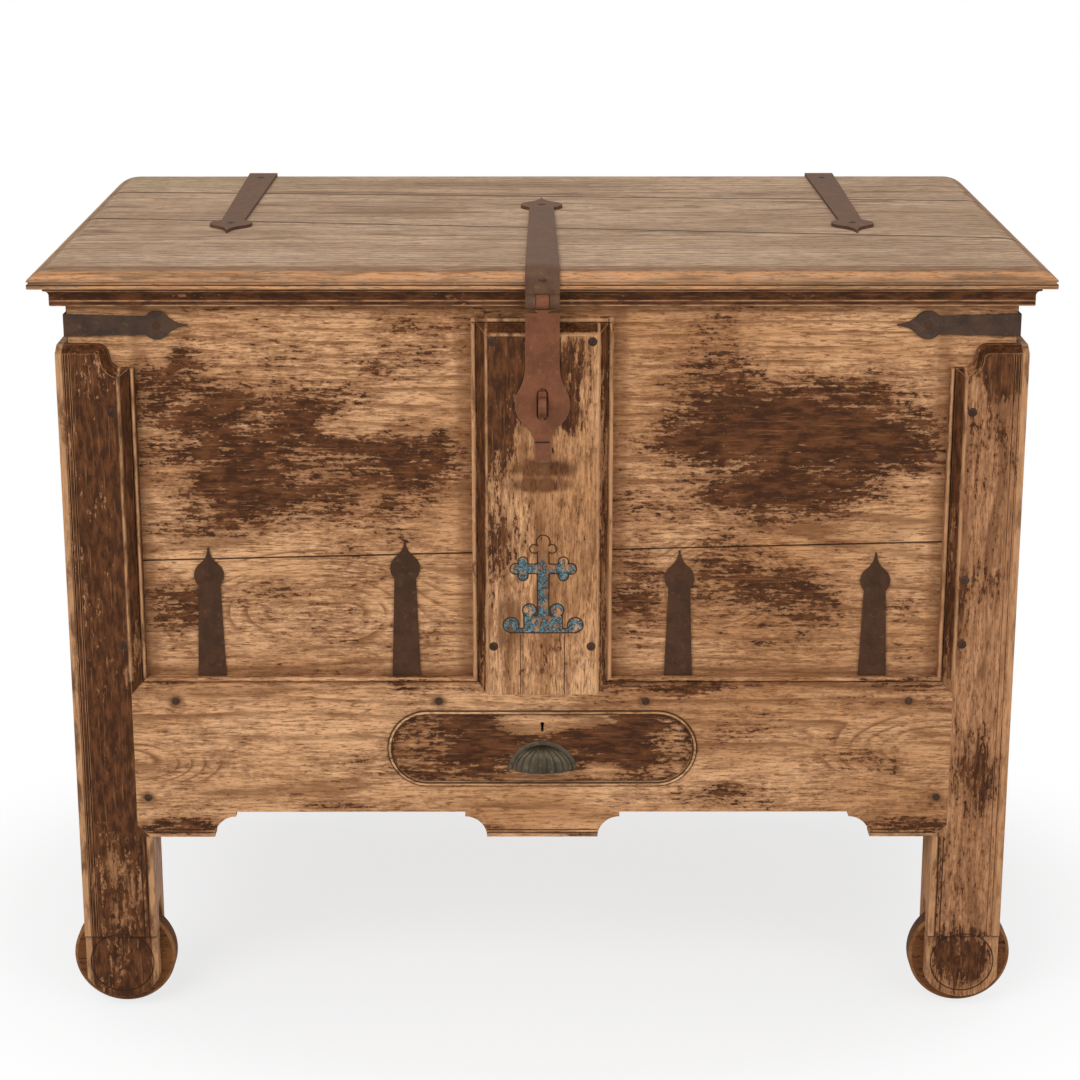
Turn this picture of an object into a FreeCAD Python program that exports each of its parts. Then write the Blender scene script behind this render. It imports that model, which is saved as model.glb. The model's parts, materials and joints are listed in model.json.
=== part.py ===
import FreeCAD, Part
import math
import os
from types import SimpleNamespace

import Sketcher
from FreeCAD import Rotation, Vector

# A wheeled wooden trunk: a plank chest held in four forked posts that run on wooden wheels,
# with a moulded front frame, a drawer in the apron, a strap-hinged lid and a hasp.
# X runs to the right, Y to the back and Z up; the origin is on the floor under the middle.

# Driving dimensions, in millimetres
SIZES = [
    ("lid_width", 1160, "lid, side to side"),
    ("lid_depth", 710, "lid, front edge to back edge"),
    ("lid_thickness", 21, "lid boards"),
    ("lid_underside", 893, "height of the lid's underside above the floor"),
    ("lid_seat_gap", 0.3, "air between the closed lid and the chest"),
    ("lid_round_depth", 28, "rounding of the lid's upper edge, in from the edge"),
    ("lid_round_drop", 11, "rounding of the lid's upper edge, down from the top"),
    ("lid_quirk", 2, "depth of the groove under the rounded edge"),
    ("lid_fillet_height", 6, "plain band at the foot of the lid's edge"),
    ("rear_joint_left", 573, "rear lid joint at the left end, behind the front edge"),
    ("rear_joint_right", 495, "rear lid joint at the right end, behind the front edge"),
    ("front_joint_left", 365, "front lid joint at the left end, behind the front edge"),
    ("front_joint_right", 213, "front lid joint at the right end, behind the front edge"),
    ("cornice_height", 23, "moulding under the lid"),
    ("cornice_inset", 15, "moulding's top edge, in from the lid's edge"),
    ("cornice_step", 6, "moulding's foot, in from its top edge"),
    ("cornice_fillet", 5, "plain bands of the moulding"),
    ("cornice_gap", 2, "air between the moulding and the chest"),
    ("batten_width", 60, "lid battens, side to side"),
    ("batten_thickness", 18, "lid battens"),
    ("batten_length", 480, "lid battens, front to back"),
    ("batten_inset", 300, "battens' middles, in from the lid's ends"),
    ("side_overhang", 37.5, "lid's ends outside the chest's sides"),
    ("chest_bottom", 407, "height of the chest's lower edge"),
    ("front_overhang", 33, "lid's front edge in front of the chest boards"),
    ("board_thickness", 25, "chest boards"),
    ("front_seam_left", 157, "front boards' joint at the left, above the chest's lower edge"),
    ("front_seam_right", 183, "front boards' joint at the right, above the chest's lower edge"),
    ("side_seam", 170, "side and back boards' joint above the chest's lower edge"),
    ("floor_thickness", 20, "chest floor"),
    ("frame_thickness", 22, "front frame, proud of the boards"),
    ("moulding_width", 17, "moulded edge of the front frame"),
    ("bead_width", 5, "bead at the outside of that edge"),
    ("bead_height", 8, "springing of the bead above the boards"),
    ("quirk_width", 1.5, "groove beside the bead"),
    ("quirk_floor", 6, "floor of that groove above the boards"),
    ("post_width", 87, "corner post, side to side"),
    ("post_depth", 68, "corner post, front to back"),
    ("post_outset", 11, "post's face outside the chest's sides and back"),
    ("post_drop", 68, "posts' tops below the lid"),
    ("shoulder_flat", 45, "level part of a front post's top"),
    ("shoulder_round", 14, "radius of the two arcs of its shoulder"),
    ("shoulder_bevel", 8, "bevel that follows the top and the shoulder"),
    ("groove_inset", 9, "first groove of the bead on a post's outer edge"),
    ("groove_width", 2, "grooves of that bead"),
    ("groove_depth", 1.5, "depth of those grooves"),
    ("groove_pitch", 6, "between the grooves of that bead"),
    ("plank_foot", 96, "height where a post's face steps back to its foot"),
    ("foot_setback", 4, "depth of that step"),
    ("foot_clearance", 15, "post's rounded end above the floor"),
    ("foot_sagitta", 26, "rise of the rounded end"),
    ("outer_cheek", 24, "fork cheek on the outside, step included"),
    ("wheel_radius", 61.5, "wheels"),
    ("wheel_thickness", 27, "wheels"),
    ("wheel_side_gap", 0.5, "air beside a wheel in its fork"),
    ("wheel_top_gap", 8, "air above a wheel in its fork"),
    ("axle_radius", 8.5, "wooden axle pins"),
    ("axle_proud", 2, "axle's end in front of the foot"),
    ("running_gap", 0.05, "radial play on axles and hinge pins"),
    ("stile_width", 163, "middle stile, mouldings included"),
    ("stile_drop", 37, "stile's top below the lid"),
    ("apron_height", 180, "apron's drops below the chest's lower edge"),
    ("apron_corner", 15, "cut-off lower corners of the apron"),
    ("apron_tongue", 14, "apron's ends, thinned where they lap the posts"),
    ("outer_drop", 92, "apron's outer drops, cut-off corner included"),
    ("middle_drop", 132, "width of the apron's middle drop"),
    ("arch_cove", 26, "radius of the hollows beside the drops"),
    ("arch_step", 6, "step at the top of each hollow"),
    ("drawer_drop", 67, "drawer front's middle below the chest's lower edge"),
    ("opening_width", 356, "drawer opening"),
    ("opening_height", 85, "drawer opening, round at both ends"),
    ("drawer_gap", 1.5, "air round the drawer front"),
    ("drawer_recess", 2, "drawer front behind the apron's face"),
    ("drawer_front_thickness", 20, "drawer front"),
    ("surround_width", 5.5, "raised edge round the opening"),
    ("surround_thickness", 3, "how far that edge stands out"),
    ("drawer_box_width", 300, "drawer box"),
    ("drawer_box_height", 74, "drawer box"),
    ("drawer_box_depth", 420, "drawer box behind its front"),
    ("drawer_wall", 12, "drawer sides and back"),
    ("drawer_floor", 8, "drawer bottom"),
    ("slide_gap", 0.3, "air under and above the drawer box"),
    ("guide_gap", 0.6, "air beside the drawer box"),
    ("runner_thickness", 20, "drawer runners"),
    ("runner_width", 44, "drawer runners"),
    ("guide_thickness", 13, "upright part of the runners"),
    ("guide_height", 45, "upright part of the runners"),
    ("kicker_width", 40, "bar that keeps the open drawer level"),
    ("kicker_setback", 24, "front end of that bar, behind the chest boards' face"),
    ("rail_thickness", 22, "side and back rails"),
    ("rail_height", 145, "side and back rails"),
    ("pull_width", 83, "cup pull"),
    ("pull_height", 35, "cup pull"),
    ("pull_depth", 20, "cup pull"),
    ("pull_wall", 2.5, "cup pull"),
    ("pull_plate", 2, "arched plate of the cup pull"),
    ("pull_flange", 5, "that plate round the pull's shell"),
    ("pull_knee_drop", 17, "shell's knee below the plate's top"),
    ("pull_brow", 6, "shell's brow below the plate's top"),
    ("pull_drop", 26.5, "cup pull's lip below the drawer front's middle"),
    ("keyhole_inset", 12.5, "keyhole's round part below the drawer front's upper edge"),
    ("keyhole_radius", 2.7, "keyhole"),
    ("keyhole_slot", 3, "keyhole's slot"),
    ("keyhole_drop", 9, "keyhole's slot below the round part's middle"),
    ("lock_width", 50, "drawer lock"),
    ("lock_height", 36, "drawer lock"),
    ("lock_thickness", 12, "drawer lock"),
    ("bolt_width", 16, "bolt of the drawer lock"),
    ("bolt_thickness", 6, "bolt of the drawer lock"),
    ("bolt_length", 28, "bolt of the drawer lock"),
    ("bolt_gap", 0.2, "air beside the bolt"),
    ("iron_thickness", 3, "corner irons and floor straps"),
    ("point_width", 1.6, "blunt end of the irons' points"),
    ("corner_iron_drop", 47, "corner irons' middle below the lid"),
    ("corner_iron_width", 26, "corner irons at the corner"),
    ("corner_iron_neck", 21, "corner irons under the bulb"),
    ("corner_iron_bulb", 16.5, "radius of the corner irons' ends"),
    ("corner_iron_point", 35, "corner irons' points, from the bulb's middle"),
    ("corner_iron_length", 141, "corner irons, each way from the corner"),
    ("inner_strap_gap", 79, "inner floor straps' middles, from the stile"),
    ("outer_strap_gap", 76.5, "outer floor straps' middles, from the posts"),
    ("left_outer_strap_height", 175, "floor straps' tips above the chest's lower edge"),
    ("left_inner_strap_height", 183.5, "floor straps' tips above the chest's lower edge"),
    ("right_inner_strap_height", 171, "floor straps' tips above the chest's lower edge"),
    ("right_outer_strap_height", 168, "floor straps' tips above the chest's lower edge"),
    ("strap_bulb", 17.5, "radius of the floor straps' ends"),
    ("strap_point", 34, "floor straps' points, from the bulb's middle"),
    ("strap_neck", 25.5, "floor straps under the bulb"),
    ("strap_foot", 34.5, "floor straps at the chest's lower edge"),
    ("strap_reach", 200, "floor straps under the floor"),
    ("hinge_inset", 198, "hinges' middles, in from the lid's ends"),
    ("hinge_width", 38, "lid hinges"),
    ("hinge_neck", 28, "hinge straps before the spade"),
    ("hinge_bulb", 26, "radius of the hinge straps' spades"),
    ("hinge_point", 54, "hinge straps' points, from the spade's middle"),
    ("hinge_tip", 250, "hinge straps' tips behind the lid's front edge"),
    ("hinge_iron", 4, "hinges and hasp"),
    ("leaf_length", 120, "hinge leaves down the back"),
    ("knuckle_radius", 8.5, "hinge and hasp barrels"),
    ("knuckle_width", 15, "middle barrel of each hinge"),
    ("knuckle_gap", 0.4, "air beside the middle barrel"),
    ("turning_gap", 0.5, "air round a turning barrel"),
    ("pin_radius", 3, "hinge and hasp pins"),
    ("hasp_width", 39, "hasp arm and its strap at the lid's edge"),
    ("hasp_neck", 31, "hasp strap before the spade"),
    ("hasp_bulb", 26.5, "radius of the hasp strap's spade"),
    ("hasp_point", 56, "hasp strap's point, from the spade's middle"),
    ("hasp_reach", 500, "hasp strap's tip behind the lid's front edge"),
    ("hasp_barrel_drop", 13, "hasp barrel's middle below the lid's underside"),
    ("hasp_screw_drop", 12, "hasp strap's screw below the lid's top"),
    ("hasp_drop", 121.5, "hasp disc's middle below the barrel's middle"),
    ("hasp_disc", 31.5, "radius of the hasp disc"),
    ("hasp_flare", 60, "radius of the hollows between arm and disc"),
    ("hasp_hollow", 35, "radius of the hollows between disc and tail"),
    ("hasp_slot_width", 12, "hasp slot"),
    ("hasp_slot_height", 38, "hasp slot"),
    ("hasp_shoulder", 13, "arm's shoulders below the barrel's middle"),
    ("hasp_bend", 42, "bend on to the stile below the barrel's middle"),
    ("hasp_curl_drop", 44, "start of the tail's curl below the disc's middle"),
    ("hasp_tail", 17, "width of the hasp's tail"),
    ("hasp_tip_drop", 64.5, "curled tip below the disc's middle"),
    ("hasp_curl", 12, "how far the tip curls out"),
    ("hasp_gap", 0.4, "air between the hasp and the stile"),
    ("staple_thickness", 9, "staple"),
    ("staple_height", 31, "staple"),
    ("staple_nose", 10, "radius of the staple's round front"),
    ("staple_tang", 18, "staple inside the stile"),
    ("eye_radius", 5, "padlock eye"),
    ("eye_gap", 1.1, "eye in front of the hasp"),
    ("screw_radius", 5, "screw heads"),
    ("nail_radius", 4, "nail heads"),
    ("head_height", 1.2, "screw and nail heads"),
    ("stile_screw_inset", 24.5, "stile screws, in from the stile's edges"),
    ("stile_screw_drop", 25, "upper stile screws below the stile's top"),
    ("stile_screw_rise", 60, "lower stile screws above the chest's lower edge"),
    ("post_screw_drop", 76.5, "upper post screws below the posts' tops"),
    ("post_screw_rise", 62, "lower post screws above the chest's lower edge"),
    ("middle_screw_rise", 141, "middle screw of the right post above the chest's lower edge"),
    ("post_screw_inset", 25, "post screws, in from the post's inner edge"),
    ("apron_nail_drop", 8, "apron nails under the apron's face edge"),
    ("apron_nail_gap", 40.5, "inner apron nails, from the stile"),
    ("apron_nail_inset", 51.5, "outer apron nails, in from the apron's ends"),
    ("end_nail_rise", 50.5, "nails at the apron's ends above its drops"),
    ("end_nail_inset", 14, "those nails, in from the apron's ends"),
]

doc = FreeCAD.newDocument("WheeledTrunk")
sheet = doc.addObject("Spreadsheet::Sheet", "Sizes")
for row, (alias, number, note) in enumerate(SIZES, start=1):
    sheet.set(f"A{row}", note)
    sheet.set(f"B{row}", str(number))
    sheet.setAlias(f"B{row}", alias)
doc.recompute()


class Size:
    """A length that knows its value and the sheet expression that drives it."""

    def __init__(self, value, text):
        self.value = value
        self.text = text

    @staticmethod
    def of(item):
        return item if isinstance(item, Size) else Size(float(item), f"({float(item)!r})")

    def join(self, other, value, sign):
        return Size(value, f"({self.text} {sign} {Size.of(other).text})")

    def __add__(self, other):
        return self.join(other, self.value + Size.of(other).value, "+")

    def __sub__(self, other):
        return self.join(other, self.value - Size.of(other).value, "-")

    def __mul__(self, other):
        return self.join(other, self.value * Size.of(other).value, "*")

    def __truediv__(self, other):
        return self.join(other, self.value / Size.of(other).value, "/")

    def __neg__(self):
        return self * -1

    def __radd__(self, other):
        return Size.of(other) + self

    def __rsub__(self, other):
        return Size.of(other) - self

    def __rmul__(self, other):
        return Size.of(other) * self

    def root(self):
        return Size(math.sqrt(self.value), f"sqrt({self.text})")


s = SimpleNamespace(**{alias: Size(float(sheet.get(alias)), f"Sizes.{alias}") for alias, _, _ in SIZES})

# Planes and heights that several pieces share
lid_front = -s.lid_depth / 2
lid_back = s.lid_depth / 2
lid_side = s.lid_width / 2
lid_top = s.lid_underside + s.lid_thickness
chest_front = lid_front + s.front_overhang
chest_back = lid_back + s.hinge_iron / 2 - s.knuckle_radius - s.turning_gap
chest_side = lid_side - s.side_overhang
chest_top = s.lid_underside - s.lid_seat_gap
room_front = chest_front + s.board_thickness
room_back = chest_back - s.board_thickness
room_side = chest_side - s.board_thickness
frame_front = chest_front - s.frame_thickness
post_outer = chest_side + s.post_outset
post_inner = post_outer - s.post_width
post_middle = post_outer - s.post_width / 2
post_top = s.lid_underside - s.post_drop
stile_side = s.stile_width / 2
stile_top = s.lid_underside - s.stile_drop
apron_side = post_inner + s.moulding_width
apron_foot = s.chest_bottom - s.apron_height
mitre_top = s.chest_bottom + s.moulding_width
back_post_face = chest_back + s.post_outset
inner_strap_x = stile_side + s.inner_strap_gap
outer_strap_x = post_inner - s.outer_strap_gap
hinge_x = lid_side - s.hinge_inset
hinge_y = chest_back + s.knuckle_radius + s.turning_gap
hinge_z = s.lid_underside - s.knuckle_radius - s.turning_gap
hasp_y = lid_front - s.hinge_iron / 2
hasp_z = s.lid_underside - s.hasp_barrel_drop
hasp_middle = hasp_z - s.hasp_drop
drawer_middle = s.chest_bottom - s.drawer_drop
drawer_bottom = drawer_middle - s.drawer_box_height / 2
drawer_top = drawer_middle + s.drawer_box_height / 2
drawer_face = frame_front + s.drawer_recess
drawer_inside = drawer_face + s.drawer_front_thickness

ZERO = Size.of(0)
ALONG_X = Rotation(Vector(0, 1, 0), 90)
FACING_FRONT = Rotation(Vector(1, 0, 0), 90)
FACING_BACK = Rotation(Vector(1, 0, 0), -90)
FACING_UP = Rotation()
HEAD_SIDES = 8
PULL_LOBES = 9

nodes = []


def bind(thing, name, size):
    """Ties one property of a document object to the sheet."""
    thing.setExpression(name, Size.of(size).text)


def block(label, x, y, z):
    """A plain board between low and high values along each axis."""
    board = doc.addObject("Part::Box", label)
    for side, (low, high) in zip(("Length", "Width", "Height"), (x, y, z)):
        bind(board, side, high - low)
    for axis, (low, high) in zip("xyz", (x, y, z)):
        bind(board, f"Placement.Base.{axis}", low)
    return board


def rod(label, radius, length, foot, turn=Rotation()):
    """A round bar that starts at its foot and runs along Z before it is turned."""
    bar = doc.addObject("Part::Cylinder", label)
    bind(bar, "Radius", radius)
    bind(bar, "Height", length)
    return stand(bar, foot, turn)


def stand(piece, foot, turn):
    """Turns a piece and ties its foot to its place."""
    piece.Placement.Rotation = turn
    for axis, place in zip("xyz", foot):
        bind(piece, f"Placement.Base.{axis}", place)
    return piece


def group(label, pieces):
    """Separate solids that share one node."""
    bundle = doc.addObject("Part::Compound", label)
    bundle.Links = pieces
    return bundle


def cut(label, base, tools):
    """A piece with the room for other pieces taken out of it."""
    rest = doc.addObject("Part::Cut", label)
    rest.Base = base
    rest.Tool = tools[0] if len(tools) == 1 else group(f"{label}_rooms", tools)
    return rest


def overlap(label, first, second):
    """What two crossing extrusions have in common."""
    common = doc.addObject("Part::Common", label)
    common.Base = first
    common.Tool = second
    return common


def new_body(label):
    return doc.addObject("PartDesign::Body", label)


def draw_outline(sketch, steps):
    """Draws a closed outline of (x, y) lines and (x, y, centre x, centre y, turn) arcs, each point driven."""
    first = sketch.GeometryCount
    starts = steps[-1:] + steps[:-1]
    segments = []
    rules = []
    for number, (begin, end) in enumerate(zip(starts, steps), start=first):
        point = [Vector(Size.of(p[0]).value, Size.of(p[1]).value, 0) for p in (begin, end)]
        tail = 1
        if len(end) == 2:
            segments.append(Part.LineSegment(*point))
        else:
            middle = Vector(Size.of(end[2]).value, Size.of(end[3]).value, 0)
            angle = [math.atan2(p.y - middle.y, p.x - middle.x) for p in point]
            tail = 1 if end[4] > 0 else 2
            circle = Part.Circle(middle, Vector(0, 0, 1), point[0].distanceToPoint(middle))
            segments.append(Part.ArcOfCircle(circle, *angle[::end[4]]))
            along = point[1] - point[0]
            side = ("DistanceX", end[2]) if abs(along.y) > abs(along.x) else ("DistanceY", end[3])
            rules.append((side[0], number, 3, side[1]))
        rules.append(("DistanceX", number, tail, begin[0]))
        rules.append(("DistanceY", number, tail, begin[1]))
    sketch.addGeometry(segments, False)
    count = len(steps)
    joints = []
    for place, end in enumerate(steps):
        after = steps[(place + 1) % count]
        head = 1 if len(end) > 2 and end[4] < 0 else 2
        tail = 2 if len(after) > 2 and after[4] < 0 else 1
        following = first + (place + 1) % count
        joints.append(Sketcher.Constraint("Coincident", first + place, head, following, tail))
    sketch.addConstraint(joints)
    drive(sketch, rules)


def draw_circle(sketch, x, y, radius):
    circle = Part.Circle(Vector(x.value, y.value, 0), Vector(0, 0, 1), radius.value)
    number = sketch.addGeometry(circle, False)
    places = [("DistanceX", number, 3, x), ("DistanceY", number, 3, y)]
    drive(sketch, [*places, ("Radius", number, None, radius)])


def drive(sketch, rules):
    """Adds dimensions to a sketch and ties each to the sheet."""
    for kind, number, point, size in rules:
        size = Size.of(size)
        where = (number,) if point is None else (number, point)
        index = sketch.addConstraint(Sketcher.Constraint(kind, *where, size.value))
        bind(sketch, f"Constraints[{index}]", size)


def flat_sketch(body, plane, level, outlines=(), circles=()):
    """A sketch across X, Y or Z, at one level along that axis."""
    sketch = body.newObject("Sketcher::SketchObject", f"{body.Name}_sketch")
    base = [item for item in body.Origin.OriginFeatures if item.Role == f"{plane}_Plane"]
    sketch.AttachmentSupport = [(base[0], "")]
    sketch.MapMode = "FlatFace"
    bind(sketch, "AttachmentOffset.Base.z", -level if plane == "XZ" else level)
    for steps in outlines:
        draw_outline(sketch, steps)
    for x, y, radius in circles:
        draw_circle(sketch, x, y, radius)
    return sketch


def extrude(body, plane, low, high, outlines=(), circles=(), remove=False):
    """Adds or removes an outline on a plane across X, Y or Z, between two levels along that axis."""
    sketch = flat_sketch(body, plane, low, outlines, circles)
    kind = "Pocket" if remove else "Pad"
    feature = body.newObject(f"PartDesign::{kind}", f"{body.Name}_{kind.lower()}")
    feature.Profile = sketch
    feature.Reversed = (plane == "XZ") != remove
    bind(feature, "Length", high - low)
    return feature


def bevel(body, plane, low, high, low_outline, high_outline):
    """Removes what lies between an outline at one level and a like outline at another."""
    sketches = [flat_sketch(body, plane, low, [low_outline]), flat_sketch(body, plane, high, [high_outline])]
    slope = body.newObject("PartDesign::SubtractiveLoft", f"{body.Name}_bevel")
    slope.Profile = sketches[0]
    slope.Sections = [sketches[1]]
    slope.Ruled = True


def rectangle(x, y):
    return [(x[0], y[0]), (x[1], y[0]), (x[1], y[1]), (x[0], y[1])]


def place_outline(steps, corner, along, across):
    """Moves an outline from its own length and breadth on to a sketch, turned or mirrored."""

    def spot(u, v):
        return corner[0] + along[0] * u + across[0] * v, corner[1] + along[1] * u + across[1] * v

    hand = along[0] * across[1] - along[1] * across[0]
    placed = []
    for step in steps:
        if len(step) == 2:
            placed.append(spot(*step))
        else:
            placed.append((*spot(*step[:2]), *spot(*step[2:4]), step[4] * hand))
    return placed


def spade(length, foot, neck, bulb, point):
    """A flat iron from its foot to a round bulb, whose hollow flanks are drawn out to a point."""
    tip = s.point_width / 2
    flank = (point * point + tip * tip - bulb * bulb) / ((bulb - tip) * 2)
    heart = length - point
    throat = heart - (bulb * bulb - neck * neck / 4).root()
    share = bulb / (bulb + flank)
    meet = (heart + point * share, (flank + tip) * share)
    return [
        (ZERO, -foot / 2),
        (throat, -neck / 2),
        (meet[0], -meet[1], heart, ZERO, 1),
        (length, -tip, length, -flank - tip, -1),
        (length, tip),
        (*meet, length, flank + tip, -1),
        (throat, neck / 2, heart, ZERO, 1),
        (ZERO, foot / 2),
    ]


def moulded_edge():
    """Section of the front frame's edge, from the boards up to the face: bead, quirk and bevel."""
    quirk_end = s.bead_width + s.quirk_width
    return [
        (ZERO, ZERO),
        (ZERO, s.bead_height),
        (s.bead_width, s.bead_height, s.bead_width / 2, s.bead_height, -1),
        (s.bead_width, s.quirk_floor),
        (quirk_end, s.quirk_floor),
        (quirk_end, s.bead_height),
        (s.moulding_width, s.frame_thickness),
    ]


def reverse(steps):
    """The same open run of lines and arcs, walked the other way."""
    back = [steps[-1][:2]]
    for before, step in zip(steps[-2::-1], steps[:0:-1]):
        bend = () if len(step) == 2 else (step[2], step[3], -step[4])
        back.append((*before[:2], *bend))
    return back


def stadium(x, y, width, height):
    """A level slot with round ends."""
    radius = height / 2
    reach = width / 2 - radius
    return [
        (x + reach, y - radius),
        (x + reach, y + radius, x + reach, y, 1),
        (x - reach, y + radius),
        (x - reach, y - radius, x - reach, y, 1),
    ]


def ordered(first, second):
    """Two levels with the lower one first."""
    return (first, second) if first.value < second.value else (second, first)


def keep(*pieces):
    """Lists finished pieces, each of which becomes a node of the part."""
    nodes.extend(pieces)


def make_chest_boards():
    """Two boards on each of the four sides, and three across the floor."""
    y = (chest_front, room_front)
    lower = new_body("front_lower_board")
    upper = new_body("front_upper_board")
    left_seam = s.chest_bottom + s.front_seam_left
    right_seam = s.chest_bottom + s.front_seam_right
    seam = [(-chest_side, left_seam), (chest_side, right_seam)]
    extrude(lower, "XZ", *y, [[(-chest_side, s.chest_bottom), (chest_side, s.chest_bottom), *seam[::-1]]])
    extrude(upper, "XZ", *y, [[*seam, (chest_side, chest_top), (-chest_side, chest_top)]])
    keep(lower, upper)
    joint = s.chest_bottom + s.side_seam
    for level, z in (("lower", (s.chest_bottom, joint)), ("upper", (joint, chest_top))):
        keep(block(f"back_{level}_board", (-chest_side, chest_side), (room_back, chest_back), z))
        keep(block(f"left_{level}_board", (-chest_side, -room_side), (room_front, room_back), z))
        keep(block(f"right_{level}_board", (room_side, chest_side), (room_front, room_back), z))
    pitch = (room_back - room_front) / 3
    floor = (s.chest_bottom, s.chest_bottom + s.floor_thickness)
    for place, name in enumerate(("front", "middle", "back")):
        y = (room_front + pitch * place, room_front + pitch * (place + 1))
        keep(block(f"floor_{name}_board", (-room_side, room_side), y, floor))


def cut_fork(body, hand, face, inward):
    """Cuts the rounded end, the wheel's slot, the stepped-back foot and the axle's hole of a post."""
    x = ordered(hand * post_outer, hand * post_inner)
    y = ordered(face, face + s.post_depth * inward)
    middle = hand * post_middle
    half = s.post_width / 2
    bend = (half * half + s.foot_sagitta * s.foot_sagitta) / (s.foot_sagitta * 2)
    spring = s.foot_clearance + s.foot_sagitta
    below = [(x[0], ZERO), (x[1], ZERO), (x[1], spring), (x[0], spring, middle, s.foot_clearance + bend, -1)]
    extrude(body, "XZ", *y, [below], remove=True)
    slot_near = face + s.outer_cheek * inward
    slot_far = slot_near + (s.wheel_thickness + s.wheel_side_gap * 2) * inward
    slot_top = s.wheel_radius * 2 + s.wheel_top_gap
    extrude(body, "YZ", *x, [rectangle(ordered(slot_near, slot_far), (ZERO, slot_top))], remove=True)
    step = ordered(face, face + s.foot_setback * inward)
    extrude(body, "YZ", *x, [rectangle(step, (ZERO, s.plank_foot))], remove=True)
    extrude(body, "XZ", *y, circles=[(middle, s.wheel_radius, s.axle_radius)], remove=True)


def make_front_post(label, hand):
    """A front post: a moulded plank face that laps the chest's corner, over a forked foot."""
    body = new_body(label)
    outer, inner = hand * post_outer, hand * post_inner
    back = frame_front + s.post_depth
    grooves = []
    for turn in range(2):
        start = outer - hand * (s.groove_inset + s.groove_pitch * turn)
        grooves.append((start, frame_front))
        grooves.append((start - hand * s.groove_width / 2, frame_front + s.groove_depth))
        grooves.append((start - hand * s.groove_width, frame_front))
    leg = [(outer, frame_front), *grooves, (inner, frame_front), (inner, back), (outer, back)]
    extrude(body, "XY", ZERO, s.chest_bottom, [leg])
    edge = reverse(place_outline(moulded_edge(), (inner, chest_front), (hand, 0), (0, -1)))
    corner = [(hand * chest_side, chest_front), (hand * chest_side, back), (outer, back)]
    extrude(body, "XY", s.chest_bottom, post_top, [[(outer, frame_front), *grooves, *edge, *corner]])
    extrude(body, "XZ", frame_front, chest_front, [shoulder_waste(hand, ZERO)], remove=True)
    face = shoulder_waste(hand, s.shoulder_bevel)
    bevel(body, "XZ", frame_front, chest_front - s.bead_height, face, shoulder_waste(hand, ZERO))
    extrude(body, "XZ", frame_front, frame_front + s.apron_tongue, [apron_end(hand)], remove=True)
    mitre = [(inner, s.chest_bottom), (hand * apron_side, s.chest_bottom), (inner, mitre_top)]
    extrude(body, "XZ", frame_front, chest_front, [mitre], remove=True)
    cut_fork(body, hand, frame_front, 1)
    keep(body)
    return body


def shoulder_waste(hand, widened):
    """What is cut from a front post's top: the level part, a swelling, a hollow and a ledge."""
    bend = s.shoulder_round
    reach = s.post_width - s.shoulder_flat
    ledge = -bend * 2 - widened
    steps = [
        (-s.shoulder_flat, s.shoulder_bevel),
        (-s.shoulder_flat, -widened),
        (ZERO, -widened),
        (bend - widened, -bend, ZERO, -bend, -1),
        (bend * 2, ledge, bend * 2, -bend, 1),
        (reach, ledge),
        (reach, s.shoulder_bevel),
    ]
    start = (hand * (post_outer - s.shoulder_flat), post_top)
    return place_outline(steps, start, (-hand, 0), (0, 1))


def apron_end(hand):
    """The end of the apron that is let into a front post."""
    return [
        (hand * post_inner, apron_foot),
        (hand * (apron_side - s.apron_corner), apron_foot),
        (hand * apron_side, apron_foot + s.apron_corner),
        (hand * apron_side, s.chest_bottom),
        (hand * post_inner, s.chest_bottom),
    ]


def make_back_post(label, hand):
    """A back post: a plain plank that laps the chest's back corner, over a forked foot."""
    body = new_body(label)
    outer, inner = hand * post_outer, hand * post_inner
    front = back_post_face - s.post_depth
    x = ordered(outer, inner)
    extrude(body, "XY", ZERO, s.chest_bottom, [rectangle(x, (front, back_post_face))])
    lap = [(outer, front), (outer, back_post_face), (inner, back_post_face), (inner, chest_back),
           (hand * chest_side, chest_back), (hand * chest_side, front)]
    extrude(body, "XY", s.chest_bottom, post_top, [lap])
    cut_fork(body, hand, back_post_face, -1)
    keep(body)


def make_staple():
    """The staple: a flat iron with an eye for a padlock, its tang let into the stile."""
    body = new_body("staple")
    half = s.staple_height / 2
    middle = hasp_middle
    lip = frame_front - s.hasp_gap - s.hinge_iron
    eye = lip - s.eye_gap - s.eye_radius
    tang = frame_front + s.staple_tang
    outline = [
        (frame_front, middle - half),
        (frame_front, middle - s.staple_nose),
        (tang, middle - s.staple_nose),
        (tang, middle + s.staple_nose),
        (frame_front, middle + s.staple_nose),
        (frame_front, middle + half),
        (lip, middle + half),
        (eye, middle + s.staple_nose),
        (eye, middle - s.staple_nose, eye, middle, 1),
        (lip, middle - half),
    ]
    side = s.staple_thickness / 2
    extrude(body, "YZ", -side, side, [outline], [(eye, middle, s.eye_radius)])
    keep(body)
    return body


def make_stile(staple):
    """The middle stile, moulded down both sides and across its top, and mitred to the apron."""
    body = new_body("stile_blank")
    right = place_outline(moulded_edge(), (stile_side, chest_front), (-1, 0), (0, -1))
    left = place_outline(moulded_edge(), (-stile_side, chest_front), (1, 0), (0, -1))
    extrude(body, "XY", s.chest_bottom, stile_top, [[*right, *reverse(left)]])
    top = place_outline(moulded_edge(), (chest_front, stile_top), (0, -1), (-1, 0))
    extrude(body, "YZ", -stile_side, stile_side, [[*top[1:], (frame_front, stile_top)]], remove=True)
    mitres = []
    for hand in (-1, 1):
        edge = hand * stile_side
        inside = edge - hand * s.moulding_width
        mitres.append([(edge, s.chest_bottom), (edge, mitre_top), (inside, s.chest_bottom)])
    extrude(body, "XZ", frame_front, chest_front, mitres, remove=True)
    keep(cut("centre_stile", body, [staple]))


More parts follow.
